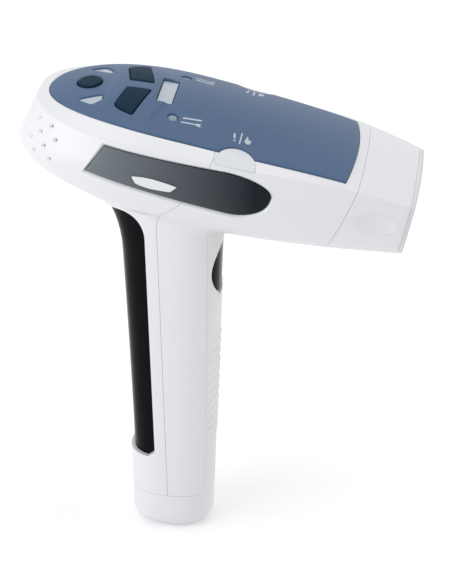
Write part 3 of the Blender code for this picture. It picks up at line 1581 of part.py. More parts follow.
def contact_carrier():
    """Plate across the cartridge's collar that holds the two contact pins."""
    front = carrier_front()
    item = within(body(WALL + COLLAR_WALL + GAP * 2), slab(front - CARRIER_THICKNESS, front))
    for sign in (1, -1):
        hole = ellipse(sign * CONTACT_Y, WINDOW_W, CONTACT_RADIUS + GAP)
        minus(item, prism(hole, along_head, -FAR, FAR))
    item.name = "contact_carrier"
    return item


def contact_pin(name, sign):
    """Brass pin that carries the lamp's current into the socket."""
    item = contact_space(sign, 0.0)
    item.name = name
    return item


def lamp_socket():
    """Bulkhead across the front shell with the sockets for the cartridge's pins."""
    rear = SOCKET_FRONT_U - SOCKET_THICKNESS
    item = within(body(WALL + GAP), slab(rear, SOCKET_FRONT_U))
    for sign in (1, -1):
        hole = ellipse(sign * CONTACT_Y, WINDOW_W, CONTACT_RADIUS + GAP)
        depth = SOCKET_FRONT_U - CONTACT_REACH - GAP
        minus(item, prism(hole, along_head, depth, FAR))
    item.name = "lamp_socket"
    return item


def set_origin(item, place):
    """Put an object's origin on its joint's axis without moving its shape."""
    for vert in item.data.vertices:
        vert.co -= place
    item.location = place


def paint(name, colour, roughness, metallic=0.0, alpha=1.0):
    """Principled material of one finish."""
    material = bpy.data.materials.new(name)
    material.use_nodes = True
    shader = material.node_tree.nodes["Principled BSDF"]
    shader.inputs["Base Color"].default_value = (*colour, 1.0)
    shader.inputs["Roughness"].default_value = roughness
    shader.inputs["Metallic"].default_value = metallic
    shader.inputs["Alpha"].default_value = alpha
    return material


FINISHES = {
    "white_gloss": ((0.82, 0.83, 0.87), 0.25, 0.0, 1.0),
    "panel_blue": ((0.11, 0.18, 0.29), 0.30, 0.0, 1.0),
    "button_navy": ((0.022, 0.042, 0.066), 0.45, 0.0, 1.0),
    "lens_white": ((0.72, 0.75, 0.76), 0.35, 0.0, 1.0),
    "gloss_black": ((0.010, 0.011, 0.013), 0.12, 0.0, 1.0),
    "soft_grey": ((0.60, 0.60, 0.61), 0.60, 0.0, 1.0),
    "inner_black": ((0.020, 0.020, 0.022), 0.60, 0.0, 1.0),
    "board_green": ((0.020, 0.120, 0.050), 0.50, 0.0, 1.0),
    "can_blue": ((0.030, 0.060, 0.200), 0.40, 0.0, 1.0),
    "steel": ((0.55, 0.55, 0.56), 0.30, 1.0, 1.0),
    "brass": ((0.75, 0.55, 0.22), 0.30, 1.0, 1.0),
    "mirror_sheet": ((0.90, 0.90, 0.91), 0.10, 1.0, 1.0),
    "filter_amber": ((0.70, 0.30, 0.08), 0.05, 0.0, 0.55),
    "lamp_quartz": ((0.90, 0.92, 0.94), 0.05, 0.0, 0.45),
    "ceramic": ((0.80, 0.78, 0.74), 0.55, 0.0, 1.0),
}


def dress(item, finish, materials):
    """Give an object its finish, shaded smooth across its shallow edges."""
    item.data.materials.clear()
    item.data.materials.append(materials[finish])
    item.data.shade_smooth()
    item.data.set_sharp_from_angle(angle=SHARP_ANGLE)


def build_head(pieces):
    """Panel, buttons, lenses and inlays of the head."""
    pieces.append((control_panel(), "panel_blue"))
    right_level = on_right(level_outline)
    pieces.append((button("power_button", power_outline, POWER_U, 0.0), "button_navy"))
    pieces.append((button("level_button_left", level_outline, LEVEL_STEM_U, LEVEL_STEM_Y), "button_navy"))
    pieces.append((button("level_button_right", right_level, LEVEL_STEM_U, -LEVEL_STEM_Y), "button_navy"))
    pieces.append((lens("level_window", window_outline(0.0)), "lens_white"))
    for side, sign in (("left", 1), ("right", -1)):
        outlines = [indicator_outline(0.0), led_outline(0.0), status_outline(0.0)]
        if sign < 0:
            outlines = [mirrored(outline) for outline in outlines]
        pieces.append((lens(f"indicator_lens_{side}", outlines[0]), "lens_white"))
        pieces.append((lens(f"led_lens_{side}", outlines[1]), "lens_white"))
        pieces.append((status_lens(f"status_lens_{side}", outlines[2]), "lens_white"))
        pieces.append((side_inlay(f"side_inlay_{side}", sign), "gloss_black"))


def build_electronics(pieces):
    """Boards, switches, capacitor, fan and inlet inside the housing."""
    pieces.append((control_board(), "board_green"))
    pieces.append((tact_switch("power_switch", POWER_U, 0.0), "inner_black"))
    pieces.append((tact_switch("level_switch_left", LEVEL_STEM_U, LEVEL_STEM_Y), "inner_black"))
    pieces.append((tact_switch("level_switch_right", LEVEL_STEM_U, -LEVEL_STEM_Y), "inner_black"))
    pieces.append((main_board(), "board_green"))
    pieces.append((charge_transformer(), "inner_black"))
    pieces.append((storage_capacitor(), "can_blue"))
    pieces.append((fan_frame(), "inner_black"))
    rotor = fan_rotor()
    set_origin(rotor, head_place(FAN_U, 0.0, FAN_W))
    pieces.append((rotor, "inner_black"))
    pieces.append((trigger_switch(), "inner_black"))
    pieces.append((dc_jack(), "inner_black"))


def build_handle(pieces):
    """Base cap, grips, trigger and screws of the handle."""
    pieces.append((base_cap(), "white_gloss"))
    pieces.append((back_grip(), "gloss_black"))
    pieces.append((finger_grip(), "soft_grey"))
    pieces.append((trigger(), "gloss_black"))
    pieces.append((trigger_pin(), "steel"))
    pieces.append((housing_screw("housing_screw_lower", SCREW_LOWER_Z), "steel"))
    pieces.append((housing_screw("housing_screw_upper", SCREW_UPPER_Z), "steel"))


def build_cartridge(pieces):
    """Lamp cartridge, its lamp and its plug-in contacts."""
    pieces.append((cartridge_housing(), "white_gloss"))
    pieces.append((cartridge_bezel(), "white_gloss"))
    pieces.append((filter_glass(), "filter_amber"))
    pieces.append((reflector(), "mirror_sheet"))
    pieces.append((flash_tube(), "lamp_quartz"))
    pieces.append((contact_carrier(), "inner_black"))
    pieces.append((lamp_socket(), "inner_black"))
    for side, sign in (("left", 1), ("right", -1)):
        pieces.append((lamp_holder(f"lamp_holder_{side}", sign), "ceramic"))
        pieces.append((contact_pin(f"contact_pin_{side}", sign), "brass"))


def main():
    """Clear the scene and build every piece with its finish."""
    for item in list(bpy.data.objects):
        bpy.data.objects.remove(item)
    pieces = []
    for shell in housing():
        pieces.append((shell, "white_gloss"))
    build_head(pieces)
    build_electronics(pieces)
    build_handle(pieces)
    build_cartridge(pieces)
    materials = {name: paint(name, *values) for name, values in FINISHES.items()}
    for item, finish in pieces:
        dress(item, finish, materials)


main()
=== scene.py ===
"""Looks of a hand-held light hair remover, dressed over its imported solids.

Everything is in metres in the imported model's frame: the origin is the middle of the handle's base,
+X points to the lamp and +Z runs up the handle. The head has its own frame, pitched nose-down: u runs
along the head to the lamp, y across it and w out of its top. Left is +Y.
"""

import logging
import math
from dataclasses import dataclass, field
from enum import Enum
from typing import Callable, Sequence, Union

import bmesh
import bpy
import numpy as np
from mathutils import Matrix, Vector
from mathutils.bvhtree import BVHTree
from mathutils.geometry import barycentric_transform, delaunay_2d_cdt

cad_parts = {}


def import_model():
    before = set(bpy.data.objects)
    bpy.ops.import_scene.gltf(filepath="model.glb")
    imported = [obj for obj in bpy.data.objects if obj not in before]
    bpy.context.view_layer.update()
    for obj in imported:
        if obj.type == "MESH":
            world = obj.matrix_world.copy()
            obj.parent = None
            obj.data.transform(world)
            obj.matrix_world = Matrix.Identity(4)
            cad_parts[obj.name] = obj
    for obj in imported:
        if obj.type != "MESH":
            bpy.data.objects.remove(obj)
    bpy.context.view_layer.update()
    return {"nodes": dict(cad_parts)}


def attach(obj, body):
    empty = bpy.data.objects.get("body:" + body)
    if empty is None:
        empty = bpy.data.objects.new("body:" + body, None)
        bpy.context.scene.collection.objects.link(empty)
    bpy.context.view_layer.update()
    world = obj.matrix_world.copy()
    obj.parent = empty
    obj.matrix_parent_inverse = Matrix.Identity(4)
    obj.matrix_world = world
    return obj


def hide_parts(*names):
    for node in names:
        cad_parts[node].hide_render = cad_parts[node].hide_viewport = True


LOG = logging.getLogger("hair_remover")
# Fit between neighbouring pieces, reach past the whole object and mesh tolerance, in metres
GAP = 0.0003
FAR = 0.12
MERGE = 1e-7
# Limits that keep a division and a mitred corner finite
TINY = 1e-18
MITRE = 0.5
# Patterns of the finishes
COAT_ROUGHNESS = 0.08
DRIFT_SCALE = 38.0
BRUSH_STRETCH = (1.0, 0.06, 1.0)
PEBBLE_SHARE = 0.7
TRACK_SCALE = 260.0
TRACK_WIDTH = 0.05
TRACK_OFFSET = 0.35
TRACK_LIFT = 1.9
STRIPE_COLOUR = (0.55, 0.58, 0.62)
STRIPE_Y = 0.0072
# Painted reflection on the dark strips: their grey fades to this near-black between these x places
REFLECTION_END_COLOUR = (0.004, 0.010, 0.015)
REFLECTION_SPAN_X = (-0.036, 0.034)
PLAIN_WHITE = (1.0, 1.0, 1.0, 1.0)

Flat = tuple[float, float]
Colour = tuple[float, float, float]
Spot = tuple[float, float, float]
Place = Callable[[float, float, float], Vector]
Value = Union["Socket", float, Sequence[float]]


class Side(Enum):
    """The two sides of the head, as the sign of y."""

    LEFT = 1
    RIGHT = -1


class Cut(Enum):
    """How one solid acts on another."""

    MINUS = "DIFFERENCE"
    PLUS = "UNION"
    WITHIN = "INTERSECT"


class Pattern(Enum):
    """What shows in a finish beyond its colour."""

    MOULDED = "moulded"
    PEBBLED = "pebbled"
    BRUSHED = "brushed"
    TRACKS = "tracks"
    SLEEVE = "sleeve"
    FADED = "faded"


class Socket:
    """Output of a shader node, with arithmetic that adds Math nodes."""

    def __init__(self, shader: "Shader", link: bpy.types.NodeSocket) -> None:
        """Keep the shader and its output socket."""
        self.shader = shader
        self.link = link

    def _math(self, operation: str, first: Value, second: Value) -> "Socket":
        """Add one Math node."""
        return self.shader.node("ShaderNodeMath", {"operation": operation}, {0: first, 1: second})

    def __add__(self, other: Value) -> "Socket":
        """Sum."""
        return self._math("ADD", self, other)

    def __sub__(self, other: Value) -> "Socket":
        """Difference."""
        return self._math("SUBTRACT", self, other)

    def __rsub__(self, other: Value) -> "Socket":
        """Difference with a number first."""
        return self._math("SUBTRACT", other, self)

    def __mul__(self, other: Value) -> "Socket":
        """Product."""
        return self._math("MULTIPLY", self, other)

    __radd__, __rmul__ = __add__, __mul__

    def __gt__(self, other: Value) -> "Socket":
        """One where this value is the greater, zero elsewhere."""
        return self._math("GREATER_THAN", self, other)


class Shader:
    """Node tree of a material or of the world, built by expressions."""

    def __init__(self, owner: Union[bpy.types.Material, bpy.types.World]) -> None:
        """Start an empty tree on the material or world that owns it."""
        owner.use_nodes = True
        self.tree = owner.node_tree
        self.tree.nodes.clear()

    def node(self, kind: str, settings: dict, sockets: dict, output: Union[int, str] = 0) -> Socket:
        """Add one node.

        Args:
            kind: The node's type.
            settings: Its settings, set first. A ramp's stops are under "stops".
            sockets: Values or sockets for its inputs, by name or number.
            output: Which output is returned.

        Returns:
            The chosen output.
        """
        made = self.tree.nodes.new(kind)
        for name, value in settings.items():
            if name == "stops":
                self._set_stops(made.color_ramp, value)
            else:
                setattr(made, name, value)
        for name, value in sockets.items():
            if isinstance(value, Socket):
                self.tree.links.new(value.link, made.inputs[name])
            else:
                made.inputs[name].default_value = value
        return Socket(self, made.outputs[output]) if made.outputs else Socket(self, None)

    @staticmethod
    def _set_stops(ramp: bpy.types.ColorRamp, stops: Sequence[tuple[float, Colour]]) -> None:
        """Give a ramp its stops."""
        while len(ramp.elements) < len(stops):
            ramp.elements.new(1.0)
        for element, (place, colour) in zip(ramp.elements, stops):
            element.position = place
            element.color = (*colour, 1.0)

    def mix(self, share: Value, first: Colour, second: Colour) -> Socket:
        """Blend of two colours by a share."""
        colours = {"Factor": share, 6: (*first, 1.0), 7: (*second, 1.0)}
        return self.node("ShaderNodeMix", {"data_type": "RGBA"}, colours, 2)

    def noise(self, scale: float, detail: float, stretch: Spot = (1.0, 1.0, 1.0)) -> Socket:
        """Noise over the object's own coordinates, stretched along its axes."""
        place = self.node("ShaderNodeTexCoord", {}, {}, "Object")
        turned = self.node("ShaderNodeMapping", {}, {"Vector": place, "Scale": stretch})
        return self.node("ShaderNodeTexNoise", {}, {"Vector": turned, "Scale": scale, "Detail": detail})


@dataclass(frozen=True)
class Finish:
    """One surface finish: its colour, gloss, grain and what shows in it."""

    name: str
    slot: str
    colour: Colour
    roughness: float
    metallic: float = 0.0
    coat: float = 0.0
    transmission: float = 0.0
    ior: float = 1.5
    mottle: float = 0.03
    drift: float = 0.06
    grain_scale: float = 2600.0
    grain_depth: float = 0.00001
    pattern: Pattern = Pattern.MOULDED

    def material(self) -> bpy.types.Material:
        """The finish as a material, made once."""
        ready = bpy.data.materials.get(self.name)
        if ready:
            return ready
        made = bpy.data.materials.new(self.name)
        shader = Shader(made)
        constants = {
            "Metallic": self.metallic,
            "Coat Weight": self.coat,
            "Coat Roughness": COAT_ROUGHNESS,
            "Transmission Weight": self.transmission,
            "IOR": self.ior,
            "Base Color": self._colour(shader),
        }
        grain = self._grain(shader)
        constants["Roughness"] = grain * self.drift + (self.roughness - self.drift / 2)
        bump = {"Height": grain, "Distance": self.grain_depth, "Strength": 1.0}
        constants["Normal"] = shader.node("ShaderNodeBump", {}, bump)
        surface = shader.node("ShaderNodeBsdfPrincipled", {}, constants)
        shader.node("ShaderNodeOutputMaterial", {}, {"Surface": surface})
        return made

    def _grain(self, shader: Shader) -> Socket:
        """Fine relief of the surface."""
        if self.pattern is Pattern.BRUSHED:
            return shader.noise(self.grain_scale, 3.0, BRUSH_STRETCH)
        if self.pattern is Pattern.PEBBLED:
            place = shader.node("ShaderNodeTexCoord", {}, {}, "Object")
            cells = shader.node("ShaderNodeTexVoronoi", {}, {"Vector": place, "Scale": self.grain_scale})
            return cells * PEBBLE_SHARE + shader.noise(self.grain_scale * 2, 2.0) * (1 - PEBBLE_SHARE)
        return shader.noise(self.grain_scale, 3.0)

    def _colour(self, shader: Shader) -> Socket:
        """Colour that drifts a little, with the pattern's own marks; for the strips, a painted reflection."""
        drift = shader.noise(DRIFT_SCALE, 4.0)
        low = tuple(part * (1 - self.mottle) for part in self.colour)
        high = tuple(min(1.0, part * (1 + self.mottle)) for part in self.colour)
        if self.pattern is Pattern.TRACKS:
            return shader.mix(self._tracks(shader), low, tuple(part * TRACK_LIFT for part in self.colour))
        if self.pattern is Pattern.SLEEVE:
            return shader.mix(self._stripe(shader), low, STRIPE_COLOUR)
        # Painted reflection: the strip's grey fades to near-black towards the front
        if self.pattern is Pattern.FADED:
            return shader.mix(self._reflection_share(shader), self.colour, REFLECTION_END_COLOUR)
        return shader.mix(drift, low, high)

    @staticmethod
    def _tracks(shader: Shader) -> Socket:
        """Fine printed tracks of a circuit board."""
        place = shader.node("ShaderNodeTexCoord", {}, {}, "Object")
        bricks = {"Vector": place, "Scale": TRACK_SCALE, "Mortar Size": TRACK_WIDTH}
        return shader.node("ShaderNodeTexBrick", {"offset": TRACK_OFFSET}, bricks, "Fac")

    @staticmethod
    def _reflection_share(shader: Shader) -> Socket:
        """Share that grows along the head, from the rear of a strip to its front, fading the strip's painted
        reflection from grey to near-black.
        """
        place = shader.node("ShaderNodeTexCoord", {}, {}, "Object")
        along = shader.node("ShaderNodeSeparateXYZ", {}, {"Vector": place}, "X")
        stretch = {"Value": along, "From Min": REFLECTION_SPAN_X[0], "From Max": REFLECTION_SPAN_X[1]}
        return shader.node("ShaderNodeMapRange", {}, stretch, "Result")

    @staticmethod
    def _stripe(shader: Shader) -> Socket:
        """Pale stripe up one side of a can's sleeve."""
        place = shader.node("ShaderNodeTexCoord", {}, {}, "Object")
        across = shader.node("ShaderNodeSeparateXYZ", {}, {"Vector": place}, "Y")
        return across > STRIPE_Y


WHITE = Finish("white_shell", "white_gloss", (0.84, 0.848, 0.88), 0.36, coat=0.1, mottle=0.008)
BLUE = Finish("panel_satin", "panel_blue", (0.074, 0.132, 0.240), 0.42, ior=1.35, grain_depth=0.00002)
NAVY = Finish(
    "button_rubber", "button_navy", (0.006, 0.026, 0.050), 0.5, ior=1.15, mottle=0.08, grain_depth=0.00003
)
LENS = Finish("frosted_lens", "lens_white", (0.49, 0.56, 0.62), 0.38, coat=0.3, mottle=0.05)
LED = Finish("clear_lens", "lens_white", (0.27, 0.35, 0.43), 0.25, mottle=0.1)
FOLD = Finish("fold_lens", "lens_white", (0.68, 0.71, 0.75), 0.2, coat=0.5)
BLACK = Finish("gloss_black_trim", "gloss_black", (0.003, 0.0035, 0.0045), 0.2, ior=1.14, mottle=0.2)
# Dark gloss strip: its grey colour is a painted reflection that fades to near-black towards the front
STRIP_PAINTED_REFLECTION = Finish("smoked_strip", "gloss_black", (0.2, 0.225, 0.255), 0.24, ior=1.25, pattern=Pattern.FADED)
SOFT = Finish(
    "soft_grip",
    "soft_grey",
    (0.84, 0.84, 0.835),
    0.6,
    grain_scale=1500.0,
    grain_depth=0.00004,
    pattern=Pattern.PEBBLED,
)
INNER = Finish("inner_moulding", "inner_black", (0.02, 0.02, 0.022), 0.5, mottle=0.1)
BOARD = Finish("board_lacquer", "board_green", (0.012, 0.075, 0.03), 0.35, coat=0.3, pattern=Pattern.TRACKS)
CAN = Finish("can_sleeve", "can_blue", (0.02, 0.045, 0.14), 0.3, pattern=Pattern.SLEEVE)
STEEL = Finish("turned_steel", "steel", (0.62, 0.62, 0.63), 0.3, metallic=1.0, pattern=Pattern.BRUSHED)
BRASS = Finish("plated_brass", "brass", (0.72, 0.5, 0.2), 0.26, metallic=1.0, pattern=Pattern.BRUSHED)
MIRROR = Finish("mirror_sheet", "mirror_sheet", (0.86, 0.87, 0.88), 0.08, metallic=1.0, drift=0.02)
AMBER = Finish("filter_glass", "filter_amber", (0.9, 0.42, 0.12), 0.05, transmission=0.85, drift=0.02)
QUARTZ = Finish(
    "quartz_tube", "lamp_quartz", (0.92, 0.93, 0.95), 0.04, transmission=0.9, ior=1.46, drift=0.01
)
CERAMIC = Finish("fired_ceramic", "ceramic", (0.74, 0.72, 0.66), 0.6, mottle=0.06, pattern=Pattern.PEBBLED)


@dataclass(frozen=True)
class Facets:
    """How finely the skin is divided, along the head, round it and down the handle."""

    nose: int
    neck: int
    front: int
    top: tuple[float, ...]
    bevel: tuple[float, ...]
    upper: tuple[float, ...]
    lower: int
    bottom: int
    neck_rear: int
    neck_wall: int
    blend: int
    handle: int
    fillet: int

    @property
    def flank(self) -> int:
        """Rows down one flank."""
        return len(self.bevel) + len(self.upper) + self.lower


FINE = Facets(
    nose=32,
    neck=12,
    front=20,
    top=(-1.0, -0.965, -0.9, -0.8, -0.65, -0.45, -0.2, 0.0, 0.2, 0.45, 0.65, 0.8, 0.9, 0.965),
    bevel=(0.0, 0.12, 0.5, 0.9),
    upper=(0.0, 0.05, 0.18, 0.36, 0.57, 0.78),
    lower=15,
    bottom=8,
    neck_rear=8,
    neck_wall=3,
    blend=14,
    handle=18,
    fillet=8,
)
COARSE = Facets(
    nose=8,
    neck=3,
    front=5,
    top=(-1.0, -0.5, 0.0, 0.5),
    bevel=(0.0,),
    upper=(0.0, 0.5),
    lower=5,
    bottom=4,
    neck_rear=2,
    neck_wall=1,
    blend=5,
    handle=4,
    fillet=3,
)


@dataclass(frozen=True)
class Level:
    """Plan outline of the head at one height, and how it draws in as the skin is inset."""

    tip: float
    half_mid: float
    half_front: float
    inset_in: float
    inset_down: float
    power: float


def ease(value: float, start: float, end: float) -> float:
    """Smooth step from 0 at start to 1 at end."""
    share = min(1.0, max(0.0, (value - start) / (end - start)))
    return share * share * (3.0 - 2.0 * share)


def make_object(name: str, bm: bmesh.types.BMesh) -> bpy.types.Object:
    """Turn a closed bmesh into an object with its faces pointing out.

    Args:
        name: The object's name.
        bm: The mesh, freed here.

    Returns:
        The object, linked to the scene.
    """
    bmesh.ops.remove_doubles(bm, verts=bm.verts, dist=MERGE)
    bmesh.ops.recalc_face_normals(bm, faces=bm.faces)
    mesh = bpy.data.meshes.new(name)
    bm.to_mesh(mesh)
    bm.free()
    item = bpy.data.objects.new(name, mesh)
    bpy.context.scene.collection.objects.link(item)
    return item


def carve(target: bpy.types.Object, cut: Cut, *others: bpy.types.Object) -> bpy.types.Object:
    """Apply solids to a solid one after the other, and drop them.

    Args:
        target: The solid that changes.
        cut: What the others do to it.
        others: The solids that act on it.

    Returns:
        The target.
    """
    for other in others:
        modifier = target.modifiers.new(cut.name, "BOOLEAN")
        modifier.operation = cut.value
        modifier.solver = "MANIFOLD"
        modifier.object = other
        view = bpy.context.view_layer
        view.update()
        mesh = bpy.data.meshes.new_from_object(target.evaluated_get(view.depsgraph))
        target.modifiers.clear()
        target.data = mesh
        bpy.data.objects.remove(other)
    return target


def bridge(bm: bmesh.types.BMesh, rows: Sequence[Sequence[bmesh.types.BMVert]]) -> None:
    """Join closed rows of equal length with faces, each row to the next."""
    count = len(rows[0])
    for row, follow in zip(rows, rows[1:]):
        for index in range(count):
            after = (index + 1) % count
            bm.faces.new((row[index], follow[index], follow[after], row[after]))


def loft(loops: Sequence[Sequence[Vector]], name: str = "cutter") -> bpy.types.Object:
    """Closed solid through loops of equal length, with flat ends.

    Args:
        loops: The loops, from one end to the other.
        name: The object's name.

    Returns:
        The solid.
    """
    bm = bmesh.new()
    rows = [[bm.verts.new(point) for point in loop] for loop in loops]
    bridge(bm, rows)
    ends = [bm.faces.new(rows[0]), bm.faces.new(rows[-1][::-1])]
    bmesh.ops.triangulate(bm, faces=ends)
    return make_object(name, bm)


def prism(outline: Sequence[Flat], place: Place, low: float, high: float) -> bpy.types.Object:
    """Closed prism of an outline between two depths."""
    return loft([[place(a, b, depth) for a, b in outline] for depth in (low, high)])


def rectangle(a0: float, a1: float, b0: float, b1: float) -> list[Flat]:
    """Outline of a rectangle."""
    return [(a0, b0), (a1, b0), (a1, b1), (a0, b1)]


def ellipse(a: float, b: float, half_a: float, half_b: float, steps: int = 40) -> list[Flat]:
    """Outline of an ellipse."""
    turns = [math.tau * index / steps for index in range(steps)]
    return [(a + half_a * math.cos(turn), b + half_b * math.sin(turn)) for turn in turns]


def rounded(corners: Sequence[Flat], radius: float, steps: int = 5) -> list[Flat]:
    """Outline through corners that turn one way, each rounded by an arc.

    Args:
        corners: The corners in order.
        radius: The arcs' radius.
        steps: Points along each arc.

    Returns:
        The rounded outline.
    """
    points = []
    count = len(corners)
    for index in range(count):
        here = Vector(corners[index])
        back = (Vector(corners[index - 1]) - here).normalized()
        ahead = (Vector(corners[(index + 1) % count]) - here).normalized()
        half_angle = back.angle(ahead) / 2
        reach = radius / math.tan(half_angle)
        centre = here + (back + ahead).normalized() * (radius / math.sin(half_angle))
        start = here + back * reach - centre
        turn = -start.angle_signed(here + ahead * reach - centre)
        for step in range(steps + 1):
            angle = turn * step / steps
            a = start.x * math.cos(angle) - start.y * math.sin(angle)
            b = start.x * math.sin(angle) + start.y * math.cos(angle)
            points.append((centre.x + a, centre.y + b))
    return points


def mirrored(outline: Sequence[Flat]) -> list[Flat]:
    """The same plan outline on the other side of the head."""
    return [(a, -b) for a, b in reversed(outline)]


def divided(outline: Sequence[Flat], parts_of: Callable[[float], int]) -> list[Flat]:
    """A closed outline with its edges split into parts, whose count follows from the edge's length."""
    points = []
    for index, point in enumerate(outline):
        here, ahead = Vector(point), Vector(outline[(index + 1) % len(outline)])
        parts = parts_of((ahead - here).length)
        points += [tuple(here.lerp(ahead, part / parts)) for part in range(parts)]
    return points


def resampled(outline: Sequence[Flat], step: float) -> list[Flat]:
    """A closed outline with no edge much longer than a step."""
    return divided(outline, lambda length: max(1, round(length / step)))


def turned_left(outline: Sequence[Flat]) -> list[Flat]:
    """A closed outline that runs anticlockwise."""
    area = sum(a[0] * b[1] - b[0] * a[1] for a, b in zip(outline, [*outline[1:], outline[0]]))
    return list(outline) if area > 0 else list(outline)[::-1]


def drawn_in(outline: Sequence[Flat], distance: float) -> list[Flat]:
    """A closed anticlockwise outline moved inwards, or outwards for a negative distance."""
    moved = []
    count = len(outline)
    for index in range(count):
        here = Vector(outline[index])
        back = (here - Vector(outline[index - 1])).normalized()
        ahead = (Vector(outline[(index + 1) % count]) - here).normalized()
        normal = Vector((-back.y - ahead.y, back.x + ahead.x)).normalized()
        reach = distance / max(MITRE, normal.dot(Vector((-back.y, back.x))))
        moved.append((here.x + normal.x * reach, here.y + normal.y * reach))
    return moved


def inside(points: np.ndarray, outline: Sequence[Flat]) -> np.ndarray:
    """Which points lie inside a closed outline.

    Args:
        points: Points, one a row.
        outline: The outline.

    Returns:
        True for each point inside.
    """
    found = np.zeros(len(points), bool)
    x, y = points[:, 0], points[:, 1]
    for index, (bx, by) in enumerate(outline):
        ax, ay = outline[index - 1]
        crosses = (ay > y) != (by > y)
        if crosses.any():
            found ^= crosses & (x < (bx - ax) * (y - ay) / (by - ay + TINY) + ax)
    return found


def smooth_line(knots: Sequence[Flat], steps: int) -> list[Flat]:
    """Points on a smooth curve through knots.

    Args:
        knots: The points that the curve passes.
        steps: Points from one knot to the next.

    Returns:
        The curve's points.
    """
    spots = [Vector(knot) for knot in knots]
    spots = [spots[0] * 2 - spots[1]] + spots + [spots[-1] * 2 - spots[-2]]
    points = []
    for index in range(1, len(spots) - 2):
        a, b, c, d = spots[index - 1 : index + 3]
        for step in range(steps):
            t = step / steps
            place = b * 2 + (c - a) * t + (a * 2 - b * 5 + c * 4 - d) * t * t
            place = (place + (b * 3 - a - c * 3 + d) * t**3) / 2
            points.append((place.x, place.y))
    return points + [tuple(knots[-1])]


def in_side(a: float, b: float, c: float) -> Vector:
    """Outline in x and z, depth along y."""
    return Vector((a, c, b))


def in_plan(a: float, b: float, c: float) -> Vector:
    """Outline in x and y, depth along z."""
    return Vector((a, b, c))


def in_front(a: float, b: float, c: float) -> Vector:
    """Outline in y and z, depth along x."""
    return Vector((c, a, b))


